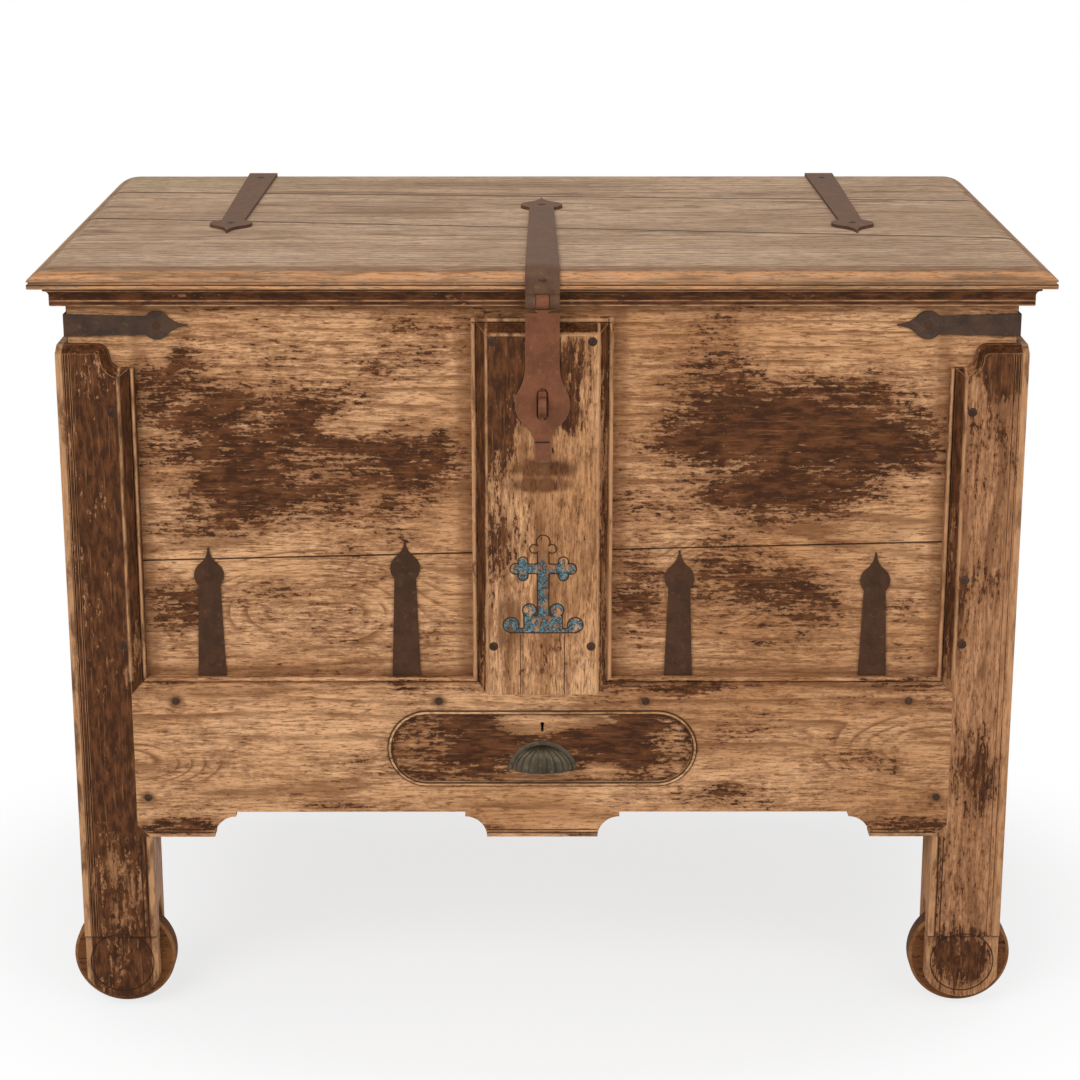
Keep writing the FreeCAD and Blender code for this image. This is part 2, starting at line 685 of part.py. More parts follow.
def strap_places():
    """The floor straps' middles from left to right, with their tips above the chest's lower edge."""
    return [
        (-outer_strap_x, s.left_outer_strap_height),
        (-inner_strap_x, s.left_inner_strap_height),
        (inner_strap_x, s.right_inner_strap_height),
        (outer_strap_x, s.right_outer_strap_height),
    ]


def make_floor_straps():
    """Four spade-ended irons that run down the front and under the floor."""
    irons = []
    top = chest_front - s.iron_thickness
    foot = s.chest_bottom - s.iron_thickness
    for place, (x, height) in enumerate(strap_places(), start=1):
        body = new_body(f"floor_strap_iron_{place}")
        length = height + s.iron_thickness
        upright = spade(length, s.strap_foot, s.strap_neck, s.strap_bulb, s.strap_point)
        extrude(body, "XZ", top, chest_front, [place_outline(upright, (x, foot), (0, 1), (-1, 0))])
        half = s.strap_foot / 2
        under = rectangle((x - half, x + half), (top, chest_front + s.strap_reach))
        extrude(body, "XY", foot, s.chest_bottom, [under])
        irons.append(body)
    straps = group("floor_straps", irons)
    keep(straps)
    return straps


def arch(start, end):
    """One arch of the apron's lower edge, from drop to drop."""
    foot = apron_foot
    spring = foot + s.arch_cove
    crown = spring + s.arch_step
    left = start + s.arch_cove
    right = end - s.arch_cove
    return [
        (start, foot),
        (left, spring, left, foot, -1),
        (left, crown),
        (right, crown),
        (right, spring),
        (end, foot, right, foot, -1),
    ]


def make_apron(posts, straps):
    """The front apron: a moulded top edge, a round-ended drawer opening and two arches."""
    body = new_body("apron_blank")
    side, foot, corner = apron_side, apron_foot, s.apron_corner
    middle = s.middle_drop / 2
    outline = [
        (-side, s.chest_bottom),
        (-side, foot + corner),
        (-side + corner, foot),
        *arch(-side + s.outer_drop, -middle),
        *arch(middle, side - s.outer_drop),
        (side - corner, foot),
        (side, foot + corner),
        (side, s.chest_bottom),
    ]
    extrude(body, "XZ", frame_front, chest_front, [outline])
    edge = place_outline(moulded_edge(), (chest_front, mitre_top), (0, -1), (-1, 0))
    extrude(body, "YZ", -side, side, [[*edge, (chest_front, s.chest_bottom)]])
    face = stile_side - s.moulding_width
    stile_foot = [(-face, s.chest_bottom), (face, s.chest_bottom)]
    mitres = [[(-stile_side, mitre_top), *stile_foot, (stile_side, mitre_top)]]
    for hand in (-1, 1):
        end = hand * side
        mitres.append([(end, mitre_top), (end, s.chest_bottom), (hand * post_inner, mitre_top)])
    extrude(body, "XZ", frame_front, chest_front, mitres, remove=True)
    opening = stadium(ZERO, drawer_middle, s.opening_width, s.opening_height)
    extrude(body, "XZ", frame_front, chest_front, [opening], remove=True)
    keep(cut("front_apron", body, [*posts, straps]))
    surround = new_body("drawer_surround")
    rim = s.surround_width * 2
    outside = stadium(ZERO, drawer_middle, s.opening_width + rim, s.opening_height + rim)
    extrude(surround, "XZ", frame_front - s.surround_thickness, frame_front, [outside, opening])
    keep(surround)


def make_rails():
    """Rails between the posts under the chest's sides and back, and what carries the drawer."""
    z = (s.chest_bottom - s.rail_height, s.chest_bottom)
    y = (frame_front + s.post_depth, back_post_face - s.post_depth)
    for name, hand in (("left", -1), ("right", 1)):
        x = ordered(hand * (chest_side - s.rail_thickness), hand * chest_side)
        keep(block(f"{name}_side_rail", x, y, z))
    rail_front = chest_back - s.rail_thickness
    keep(block("back_rail", (-post_inner, post_inner), (rail_front, chest_back), z))
    bed = drawer_bottom - s.slide_gap
    for name, hand in (("left", -1), ("right", 1)):
        body = new_body(f"{name}_drawer_runner")
        near = s.drawer_box_width / 2 + s.guide_gap
        far = near + s.guide_thickness
        inside = far - s.runner_width
        under = bed - s.runner_thickness
        section = [(hand * inside, under), (hand * far, under), (hand * far, bed + s.guide_height),
                   (hand * near, bed + s.guide_height), (hand * near, bed), (hand * inside, bed)]
        extrude(body, "XZ", chest_front, rail_front, [section])
        keep(body)
    half = s.kicker_width / 2
    over = drawer_bottom + s.drawer_box_height + s.slide_gap
    y = (chest_front + s.kicker_setback, rail_front)
    keep(block("drawer_kicker", (-half, half), y, (over, s.chest_bottom)))


def make_drawer():
    """The drawer: a round-ended front with a keyhole, and a plain box behind it."""
    front = new_body("drawer_front")
    gap = s.drawer_gap * 2
    height = s.opening_height - gap
    face = stadium(ZERO, drawer_middle, s.opening_width - gap, height)
    extrude(front, "XZ", drawer_face, drawer_inside, [face])
    half = s.keyhole_slot / 2
    level = drawer_middle + height / 2 - s.keyhole_inset
    throat = level - (s.keyhole_radius * s.keyhole_radius - half * half).root()
    foot = level - s.keyhole_drop
    keyhole = [(-half, foot), (half, foot), (half, throat), (-half, throat, ZERO, level, 1)]
    extrude(front, "XZ", drawer_face, drawer_inside, [keyhole], remove=True)
    outside = s.drawer_box_width / 2
    inside = outside - s.drawer_wall
    end = drawer_inside + s.drawer_box_depth
    z = (drawer_bottom, drawer_top)
    sides = []
    for name, hand in (("left", -1), ("right", 1)):
        x = ordered(hand * inside, hand * outside)
        sides.append(block(f"{name}_drawer_wall", x, (drawer_inside, end), z))
    bottom = (drawer_bottom, drawer_bottom + s.drawer_floor)
    keep(front, group("drawer_sides", sides))
    keep(block("drawer_bottom", (-inside, inside), (drawer_inside, end), bottom))
    keep(block("drawer_back", (-inside, inside), (end - s.drawer_wall, end), (bottom[1], z[1])))


def make_lock():
    """The drawer lock behind the keyhole, with a bolt that rises behind the apron."""
    case = new_body("lock_case")
    half = s.lock_width / 2
    y = (drawer_inside, drawer_inside + s.lock_thickness)
    extrude(case, "XZ", *y, [rectangle((-half, half), (drawer_top - s.lock_height, drawer_top))])
    bolt_half = s.bolt_width / 2
    foot = drawer_top - s.bolt_length
    back = y[1] - s.bolt_thickness
    side = bolt_half + s.bolt_gap
    channel = rectangle((-side, side), (foot, drawer_top))
    extrude(case, "XZ", back - s.bolt_gap, y[1], [channel], remove=True)
    keep(case, block("lock_bolt", (-bolt_half, bolt_half), (back, y[1]), (foot, drawer_top)))


def lobed_ring(half, depth, level):
    """Half an oval in front of the drawer, drawn as one straight run for each lobe of the pull's shell."""
    ring = []
    for lobe in range(PULL_LOBES + 1):
        turn = math.pi * lobe / PULL_LOBES
        across = half * math.cos(turn)
        ahead = drawer_face - depth * math.sin(turn)
        ring.append(Vector(across.value, ahead.value, level.value))
    return ring


def faceted(label, rings):
    """A closed form with flat faces through a row of like rings."""
    loops = [rings[0], rings[-1]]
    for low, high in zip(rings[:-1], rings[1:]):
        for place in range(len(low)):
            loops.append([low[place - 1], low[place], high[place], high[place - 1]])
    shell = Part.makeShell([Part.Face(Part.makePolygon([*loop, loop[0]])) for loop in loops])
    shell.sewShape()
    form = doc.addObject("Part::Feature", label)
    form.Shape = Part.Solid(shell)
    return form


def make_cup_pull():
    """The cup pull: a flat arched plate with a lobed shell on it, open below for the fingers."""
    half, height = s.pull_width / 2, s.pull_height
    rim = (half * half + height * height) / (height * 2)
    lip = drawer_middle - s.pull_drop
    middle = lip + height - rim
    plate = new_body("pull_arched_plate")
    arch_outline = [(half, lip), (-half, lip, ZERO, middle, 1)]
    extrude(plate, "XZ", drawer_face - s.pull_plate, drawer_face, [arch_outline])
    arc = rim - s.pull_flange
    mouth = (arc * arc - (lip - middle) * (lip - middle)).root()
    forms = []
    for name, wall in (("outside", ZERO), ("inside", s.pull_wall)):
        rings = []
        for rise in (ZERO, height - s.pull_knee_drop, height - s.pull_brow):
            level = lip + rise
            share = (arc * arc - (level - middle) * (level - middle)).root() / mouth
            rings.append(lobed_ring((mouth - wall) * share, (s.pull_depth - wall) * share, level - wall))
        forms.append(faceted(f"pull_{name}", rings))
    cup = doc.addObject("Part::Fuse", "pull_cup")
    cup.Base = plate
    cup.Tool = forms[0]
    keep(cut("cup_pull", cup, forms[1:]))


def make_corner_irons():
    """Irons bent round the chest's upper corners, with a pointed bulb at both ends."""
    thick = s.iron_thickness
    ends = (s.corner_iron_neck, s.corner_iron_bulb, s.corner_iron_point)
    flat = spade(s.corner_iron_length, s.corner_iron_width, *ends)
    level = s.lid_underside - s.corner_iron_drop
    for name, boards, inward in (("front", chest_front, 1), ("back", chest_back, -1)):
        irons = []
        outside = boards - thick * inward
        for side, hand in (("left", -1), ("right", 1)):
            body = new_body(f"{name}_{side}_iron")
            corner = hand * (chest_side + thick)
            across = place_outline(flat, (corner, level), (-hand, 0), (0, 1))
            extrude(body, "XZ", *ordered(outside, boards), [across])
            along = place_outline(flat, (outside, level), (inward, 0), (0, 1))
            extrude(body, "YZ", *ordered(hand * chest_side, corner), [along])
            irons.append(body)
        keep(group(f"{name}_corner_irons", irons))


def make_wheels():
    """Four wooden wheels and the pins that they turn on."""
    pins = []
    near = s.outer_cheek + s.wheel_side_gap
    for depth, face, inward in (("front", frame_front, 1), ("back", back_post_face, -1)):
        for side, hand in (("left", -1), ("right", 1)):
            middle = hand * post_middle
            wheel = new_body(f"{depth}_{side}_wheel")
            y = ordered(face + near * inward, face + (near + s.wheel_thickness) * inward)
            rings = [(middle, s.wheel_radius, s.wheel_radius),
                     (middle, s.wheel_radius, s.axle_radius + s.running_gap)]
            extrude(wheel, "XZ", *y, circles=rings)
            keep(wheel)
            ends = ordered(face + (s.foot_setback - s.axle_proud) * inward, face + s.post_depth * inward)
            foot = (middle, ends[0], s.wheel_radius)
            pins.append(rod(f"{depth}_{side}_axle", s.axle_radius, ends[1] - ends[0], foot, FACING_BACK))
    keep(group("wheel_axles", pins))


def make_lid():
    """Three tapered boards with a moulded edge, the cornice under them and two battens."""
    slab = new_body("lid_slab")
    z = (s.lid_underside, lid_top)
    extrude(slab, "XY", *z, [rectangle((-lid_side, lid_side), (lid_front, lid_back))])
    quirk = (z[0] + s.lid_fillet_height, z[0] + s.lid_fillet_height + s.lid_quirk)
    extrude(slab, "YZ", -lid_side, lid_side, edge_waste(lid_front, 1, quirk), remove=True)
    for hand in (-1, 1):
        extrude(slab, "XZ", lid_front, lid_back, edge_waste(hand * lid_side, -hand, quirk), remove=True)
    cuts = [
        (lid_front, lid_front),
        (lid_front + s.front_joint_left, lid_front + s.front_joint_right),
        (lid_front + s.rear_joint_left, lid_front + s.rear_joint_right),
        (lid_back, lid_back),
    ]
    for name, before, after in zip(("front", "middle", "back"), cuts[:-1], cuts[1:]):
        blank = new_body(f"lid_{name}_outline")
        outline = [(-lid_side, before[0]), (lid_side, before[1]), (lid_side, after[1]), (-lid_side, after[0])]
        extrude(blank, "XY", *z, [outline])
        keep(overlap(f"lid_{name}_board", slab, blank))
    battens = []
    for name, hand in (("left", -1), ("right", 1)):
        middle = hand * (lid_side - s.batten_inset)
        x = (middle - s.batten_width / 2, middle + s.batten_width / 2)
        y = (-s.batten_length / 2, s.batten_length / 2)
        battens.append(block(f"{name}_batten", x, y, (z[0] - s.batten_thickness, z[0])))
    keep(group("lid_battens", battens))


def lid_bend():
    """Radius of the arc that rounds the lid's upper edge."""
    depth, drop = s.lid_round_depth, s.lid_round_drop
    return (depth * depth + drop * drop) / (drop * 2)


def edge_waste(edge, inward, quirk):
    """What is cut from the lid's edge: the corner outside its rounding and the groove below it."""
    inside = edge + s.lid_round_depth * inward
    corner = [
        (edge, lid_top),
        (edge, lid_top - s.lid_round_drop),
        (inside, lid_top, inside, lid_top - lid_bend(), -inward),
    ]
    return [corner, rectangle(ordered(edge, edge + s.lid_quirk * inward), quirk)]


def cornice_section(outer, inner, inward):
    """Fillet, hollow and fascia, from the lid's underside down."""
    top = s.lid_underside
    foot = top - s.cornice_height
    step = s.cornice_step
    face = outer + step * inward
    hollow = top - s.cornice_fillet - step
    return [
        (outer, top),
        (outer, top - s.cornice_fillet),
        (face, hollow, outer, hollow, -inward),
        (face, foot),
        (inner, foot),
        (inner, top),
    ]


def make_cornice():
    """Mouldings under the lid's front and ends, mitred at the front corners."""
    ahead = lid_front + s.cornice_inset
    aside = lid_side - s.cornice_inset
    front_inner = chest_front - s.cornice_gap
    side_inner = chest_side + s.cornice_gap
    z = (s.lid_underside - s.cornice_height, s.lid_underside)
    front = new_body("front_cornice")
    extrude(front, "YZ", -aside, aside, [cornice_section(ahead, front_inner, 1)])
    width = front_inner - ahead
    for hand in (-1, 1):
        waste = [(hand * aside, ahead), (hand * aside, front_inner), (hand * (aside - width), front_inner)]
        extrude(front, "XY", *z, [waste], remove=True)
    keep(front)
    width = aside - side_inner
    for name, hand in (("left", -1), ("right", 1)):
        body = new_body(f"{name}_cornice")
        section = cornice_section(hand * aside, hand * side_inner, -hand)
        extrude(body, "XZ", ahead, chest_back, [section])
        waste = [(hand * aside, ahead), (hand * side_inner, ahead), (hand * side_inner, ahead + width)]
        extrude(body, "XY", *z, [waste], remove=True)
        keep(body)


def barrel_under_leg(axis, level, top):
    """Section of a strap's bent-down end, rolled into a barrel."""
    half = s.hinge_iron / 2
    neck = level + (s.knuckle_radius * s.knuckle_radius - half * half).root()
    return [
        (axis + half, top),
        (axis - half, top),
        (axis - half, neck),
        (axis + half, neck, axis, level, 1),
    ]


def barrel_room(axis, level):
    """The room that a barrel turns in."""
    reach = s.knuckle_radius + s.turning_gap
    return rectangle((axis - reach, axis + reach), (level - reach, level + reach))


def make_hinges():
    """Two strap hinges: a spade-ended strap over the lid, a leaf down the back and a pin."""
    pins = []
    half = s.hinge_width / 2
    knuckle = s.knuckle_width / 2
    top = lid_top + s.hinge_iron
    for name, hand in (("left", -1), ("right", 1)):
        x = hand * hinge_x
        strap = new_body(f"{name}_hinge_strap")
        length = s.lid_depth + s.hinge_iron - s.hinge_tip
        flat = spade(length, s.hinge_width, s.hinge_neck, s.hinge_bulb, s.hinge_point)
        placed = place_outline(flat, (x, lid_back + s.hinge_iron), (0, -1), (1, 0))
        extrude(strap, "XY", lid_top, top, [placed])
        extrude(strap, "YZ", x - half, x + half, [barrel_under_leg(hinge_y, hinge_z, top)])
        extrude(strap, "YZ", x - half, x - knuckle, [barrel_room(hinge_y, hinge_z)], remove=True)
        extrude(strap, "YZ", x + knuckle, x + half, [barrel_room(hinge_y, hinge_z)], remove=True)
        bore = (hinge_y, hinge_z, s.pin_radius + s.running_gap)
        extrude(strap, "YZ", x - half, x + half, circles=[bore], remove=True)
        leaf = new_body(f"{name}_hinge_leaf")
        face = chest_back + s.hinge_iron
        reach = hinge_y - face
        drop = (s.knuckle_radius * s.knuckle_radius - reach * reach).root()
        foot = hinge_z - s.leaf_length
        plate = [
            (chest_back, foot),
            (face, foot),
            (face, hinge_z - drop),
            (hinge_y - s.knuckle_radius, hinge_z, hinge_y, hinge_z, 1),
            (chest_back, hinge_z),
        ]
        extrude(leaf, "YZ", x - half, x + half, [plate])
        gap = knuckle + s.knuckle_gap
        extrude(leaf, "YZ", x - gap, x + gap, [barrel_room(hinge_y, hinge_z)], remove=True)
        bore = (hinge_y, hinge_z, s.pin_radius)
        extrude(leaf, "YZ", x - half, x + half, circles=[bore], remove=True)
        keep(strap, leaf)
        start = (x - half, hinge_y, hinge_z)
        pins.append(rod(f"{name}_hinge_pin", s.pin_radius, s.hinge_width, start, ALONG_X))
    keep(group("hinge_pins", pins))


def make_hasp():
    """The hasp: a strap bent over the lid's front edge, and an arm that drops over the staple."""
    half = s.hasp_width / 2
    strap = hasp_strap_from_side()
    flat = spade(s.hasp_reach + s.hinge_iron, s.hasp_width, s.hasp_neck, s.hasp_bulb, s.hasp_point)
    placed = place_outline(flat, (ZERO, lid_front - s.hinge_iron), (0, 1), (-1, 0))
    outline = new_body("hasp_strap_outline")
    extrude(outline, "XY", hasp_z - s.knuckle_radius, lid_top + s.hinge_iron, [placed])
    level = (hasp_z - s.knuckle_radius, hasp_z + s.knuckle_radius)
    extrude(outline, "XY", *level, [rectangle((-half, half), (hasp_y - s.knuckle_radius, lid_front))])
    keep(overlap("hasp_strap", strap, outline))
    keep(rod("hasp_pin", s.pin_radius, s.hasp_width, (-half, hasp_y, hasp_z), ALONG_X))
    keep(overlap("hasp", hasp_from_side(), hasp_from_front()))


def hasp_strap_from_side():
    """The strap's bent section: along the lid, over its rounded edge and down to the barrel."""
    body = new_body("hasp_strap_side")
    iron = s.hinge_iron
    bend = lid_bend()
    inside = lid_front + s.lid_round_depth
    centre = (inside, lid_top - bend)
    brow = lid_top - s.lid_round_drop
    share = iron / bend
    outer_brow = (lid_front - s.lid_round_depth * share, brow + (bend - s.lid_round_drop) * share)
    end = lid_front + s.hasp_reach
    neck = hasp_z + (s.knuckle_radius * s.knuckle_radius - iron * iron / 4).root()
    section = [
        (lid_front, neck, hasp_y, hasp_z, 1),
        (lid_front, brow),
        (inside, lid_top, *centre, -1),
        (end, lid_top),
        (end, lid_top + iron),
        (inside, lid_top + iron),
        (*outer_brow, *centre, 1),
        (lid_front - iron, brow),
        (lid_front - iron, neck),
    ]
    side = s.hasp_bulb
    extrude(body, "YZ", -side, side, [section])
    gap = s.knuckle_width / 2 + s.knuckle_gap
    extrude(body, "YZ", -gap, gap, [barrel_room(hasp_y, hasp_z)], remove=True)
    extrude(body, "YZ", -side, side, circles=[(hasp_y, hasp_z, s.pin_radius)], remove=True)
    return body


def hasp_from_side():
    """The arm's bent section, as wide as its disc."""
    body = new_body("hasp_side")
    thick = s.hinge_iron
    outer, inner = hasp_y - thick / 2, hasp_y + thick / 2
    back = frame_front - s.hasp_gap
    face = back - thick
    neck = hasp_z - (s.knuckle_radius * s.knuckle_radius - thick * thick / 4).root()
    shoulder = hasp_z - s.hasp_shoulder
    bend = hasp_z - s.hasp_bend
    curl = hasp_middle - s.hasp_curl_drop
    tip = hasp_middle - s.hasp_tip_drop
    section = [
        (inner, neck),
        (outer, neck, hasp_y, hasp_z, 1),
        (outer, shoulder),
        (face, bend),
        (face, curl),
        (face - s.hasp_curl, tip),
        (back - s.hasp_curl, tip),
        (back, curl),
        (back, bend),
        (inner, shoulder),
    ]
    bore = (hasp_y, hasp_z, s.pin_radius + s.running_gap)
    extrude(body, "YZ", -s.hasp_disc, s.hasp_disc, [section], [bore])
    return body


def fillet_beside(disc, edge, bend):
    """A hollow of a given radius that runs from a straight edge on to a disc: its three points."""
    across = edge + bend
    along = ((disc + bend) * (disc + bend) - across * across).root()
    share = disc / (disc + bend)
    return across, along, (across * share, along * share)


def hasp_from_front():
    """The arm's outline: barrel, arm, slotted disc and tail, joined by hollows."""
    body = new_body("hasp_outline")
    arm = s.hasp_width / 2
    tail = s.hasp_tail / 2
    knuckle = s.knuckle_width / 2
    middle = hasp_middle
    disc = s.hasp_disc
    shoulder = hasp_z - s.hasp_shoulder
    upper_x, upper_z, upper_meet = fillet_beside(disc, arm, s.hasp_flare)
    lower_x, lower_z, lower_meet = fillet_beside(disc, tail, s.hasp_hollow)
    right = [
        (tail, middle - s.hasp_tip_drop),
        (tail, middle - lower_z),
        (lower_meet[0], middle - lower_meet[1], lower_x, middle - lower_z, -1),
        (upper_meet[0], middle + upper_meet[1], ZERO, middle, 1),
        (arm, middle + upper_z, upper_x, middle + upper_z, -1),
        (arm, shoulder),
        (knuckle, shoulder),
        (knuckle, hasp_z + s.knuckle_radius),
    ]
    left = reverse([mirrored(step) for step in right])
    level = stadium(ZERO, ZERO, s.hasp_slot_height, s.hasp_slot_width)
    slot = place_outline(level, (ZERO, middle), (0, 1), (-1, 0))
    extrude(body, "XZ", hasp_y - s.hasp_disc, frame_front, [[*right, *left], slot])
    return body


def mirrored(step):
    """A step of an outline on the other side of the middle."""
    if len(step) == 2:
        return -step[0], step[1]
    return -step[0], step[1], -step[2], step[3], -step[4]


def heads(label, radius, places):
    """A set of screw or nail heads, each hammered to eight sides and seated on the face that it holds."""
    forged = []
    for number, (foot, turn) in enumerate(places, start=1):
        head = doc.addObject("Part::Prism", f"{label}_{number}")
        head.Polygon = HEAD_SIDES
        bind(head, "Circumradius", radius)
        bind(head, "Height", s.head_height)
        forged.append(stand(head, foot, turn))
    keep(group(label, forged))


def make_fasteners():
    """Screw heads of the frame and the irons, and the apron's nail heads."""
    frame, nails, irons, lid = [], [], [], []
    iron_face = chest_front - s.iron_thickness
    strap_low = mitre_top + s.moulding_width
    iron_end = chest_side + s.iron_thickness - s.corner_iron_length + s.corner_iron_point
    hinge_heart = lid_front + s.hinge_tip + s.hinge_point
    hasp_heart = lid_front + s.hasp_reach - s.hasp_point
    top = lid_top + s.hinge_iron
    for x, height in strap_places():
        for z in (s.chest_bottom + height - s.strap_point, strap_low):
            irons.append(((x, iron_face, z), FACING_FRONT))
    for hand in (-1, 1):
        stile_x = hand * (stile_side - s.stile_screw_inset)
        for z in (stile_top - s.stile_screw_drop, s.chest_bottom + s.stile_screw_rise):
            frame.append(((stile_x, frame_front, z), FACING_FRONT))
        post_x = hand * (post_inner + s.post_screw_inset)
        for z in (post_top - s.post_screw_drop, s.chest_bottom + s.post_screw_rise):
            frame.append(((post_x, frame_front, z), FACING_FRONT))
        for x in (stile_side + s.apron_nail_gap, apron_side - s.apron_nail_inset):
            nails.append(((hand * x, frame_front, s.chest_bottom - s.apron_nail_drop), FACING_FRONT))
        end_nail = (hand * (apron_side - s.end_nail_inset), frame_front, apron_foot + s.end_nail_rise)
        nails.append((end_nail, FACING_FRONT))
        irons.append(((hand * iron_end, iron_face, s.lid_underside - s.corner_iron_drop), FACING_FRONT))
        for share in (1, 2):
            drop = s.leaf_length * share / 2 - s.hinge_width / 2
            irons.append(((hand * hinge_x, chest_back + s.hinge_iron, hinge_z - drop), FACING_BACK))
        for y in (hinge_heart, lid_back - s.hinge_width):
            lid.append(((hand * hinge_x, y, top), FACING_UP))
    middle_screw = (post_inner + s.post_screw_inset, frame_front, s.chest_bottom + s.middle_screw_rise)
    frame.append((middle_screw, FACING_FRONT))
    lid.append(((ZERO, hasp_heart, top), FACING_UP))
    lid.append(((ZERO, lid_front - s.hinge_iron, lid_top - s.hasp_screw_drop), FACING_FRONT))
    heads("frame_screws", s.screw_radius, frame)
    heads("apron_nails", s.nail_radius, nails)
    heads("iron_screws", s.screw_radius, irons)
    heads("lid_screws", s.screw_radius, lid)


make_chest_boards()
front_posts = [make_front_post("front_left_post", -1), make_front_post("front_right_post", 1)]
make_back_post("back_left_post", -1)
make_back_post("back_right_post", 1)
make_stile(make_staple())
make_apron(front_posts, make_floor_straps())
make_rails()
make_drawer()
make_lock()
make_cup_pull()
make_corner_irons()
make_wheels()
make_lid()
make_cornice()
make_hinges()
make_hasp()
make_fasteners()
doc.recompute()

for item in doc.Objects:
    if "Invalid" in item.State or "Error" in item.State:
        raise RuntimeError(f"{item.Label} did not build: {item.State}")
    if item.TypeId == "PartDesign::Pocket" and item.Shape.Volume >= item.BaseFeature.Shape.Volume:
        raise RuntimeError(f"{item.Label} cuts nothing")
for node in nodes:
    if node.Shape.isNull() or not node.Shape.isValid():
        raise RuntimeError(f"{node.Label} has no sound shape")

os.makedirs("parts", exist_ok=True)
for node in nodes:
    node.Shape.exportStep(f"parts/{node.Label}.step")
print(f"{len(nodes)} nodes written")
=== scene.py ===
# %% [markdown]
# # A plank trunk on wooden wheels
# The trunk's measured solids are loaded first. They are the fixed frame of this lesson: each piece
# that is made below takes its place and its size from them, and rides on one of their bodies.

# %% Load the solids
import json
import math
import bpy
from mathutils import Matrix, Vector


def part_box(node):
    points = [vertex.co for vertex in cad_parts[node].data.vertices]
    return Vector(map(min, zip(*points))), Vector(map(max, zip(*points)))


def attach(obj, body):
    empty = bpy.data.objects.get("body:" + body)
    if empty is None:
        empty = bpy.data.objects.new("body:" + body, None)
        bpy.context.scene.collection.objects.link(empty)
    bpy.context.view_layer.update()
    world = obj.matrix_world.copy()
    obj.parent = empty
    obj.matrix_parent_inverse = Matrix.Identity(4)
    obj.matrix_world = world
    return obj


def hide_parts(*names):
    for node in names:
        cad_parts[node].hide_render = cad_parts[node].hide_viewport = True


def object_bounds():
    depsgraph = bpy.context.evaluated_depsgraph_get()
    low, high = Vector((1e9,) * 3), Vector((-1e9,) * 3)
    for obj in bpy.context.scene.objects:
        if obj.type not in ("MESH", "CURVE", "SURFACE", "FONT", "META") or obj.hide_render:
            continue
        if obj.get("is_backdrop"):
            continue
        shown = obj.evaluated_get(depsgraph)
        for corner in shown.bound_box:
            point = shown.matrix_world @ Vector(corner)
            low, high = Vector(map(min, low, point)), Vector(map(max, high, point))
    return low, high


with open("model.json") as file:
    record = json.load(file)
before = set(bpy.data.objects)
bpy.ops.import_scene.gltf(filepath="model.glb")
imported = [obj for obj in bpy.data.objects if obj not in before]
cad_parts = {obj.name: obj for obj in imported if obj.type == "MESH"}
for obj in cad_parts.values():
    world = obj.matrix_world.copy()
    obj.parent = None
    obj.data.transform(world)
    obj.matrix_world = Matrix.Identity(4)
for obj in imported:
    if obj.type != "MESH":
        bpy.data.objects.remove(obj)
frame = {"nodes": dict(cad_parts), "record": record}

from types import SimpleNamespace

import bmesh
import bpy
from mathutils import Vector

nodes = frame["nodes"]
solid_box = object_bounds()

# %% [markdown]
# ## The camera
# A camera could be placed by eye until the picture looks right. Here its height, distance and lens come
# from the photograph's vanishing points and were then fitted to some thirty known corners of the trunk.

# %% Camera
LENS = 88.73
SENSOR = 36
TILT = 16.315
TURN = -0.098
CAMERA_PLACE = (-0.0078, -3.3025, 1.4629)
lens = bpy.data.cameras.new("photo_camera")
lens.lens = LENS
lens.sensor_width = SENSOR
camera = bpy.data.objects.new("photo_camera", lens)
camera.location = CAMERA_PLACE
camera.rotation_euler = (math.radians(90 - TILT), 0, math.radians(TURN))
bpy.context.scene.collection.objects.link(camera)
bpy.context.scene.camera = camera
bpy.context.scene.view_settings.view_transform = "Standard"
print(f"camera {camera.location.length:.2f} m from the origin")

# %% [markdown]
# ## How the finishes are written
# A material is a web of nodes. Drawn by hand it is quick to change and hard to read, so two functions and
# a small class write each step by name: a noise, a window that keeps part of a value, a mix of two
# colours. Every pattern reads the Object coordinates, in metres, so grain and stains keep their real size
# on all pieces.

# %% The finish writer
def feed(tree, socket, value):
    """Gives a socket a link or a plain value."""
    if isinstance(value, bpy.types.NodeSocket):
        tree.links.new(value, socket)
    else:
        socket.default_value = value


def new_node(tree, kind, inputs=None, **settings):
    """A node with its settings, and with links or values on its inputs."""
    node = tree.nodes.new(kind)
    for name, value in settings.items():
        setattr(node, name, value)
    for key, value in (inputs or {}).items():
        feed(tree, node.inputs[key], value)
    return node


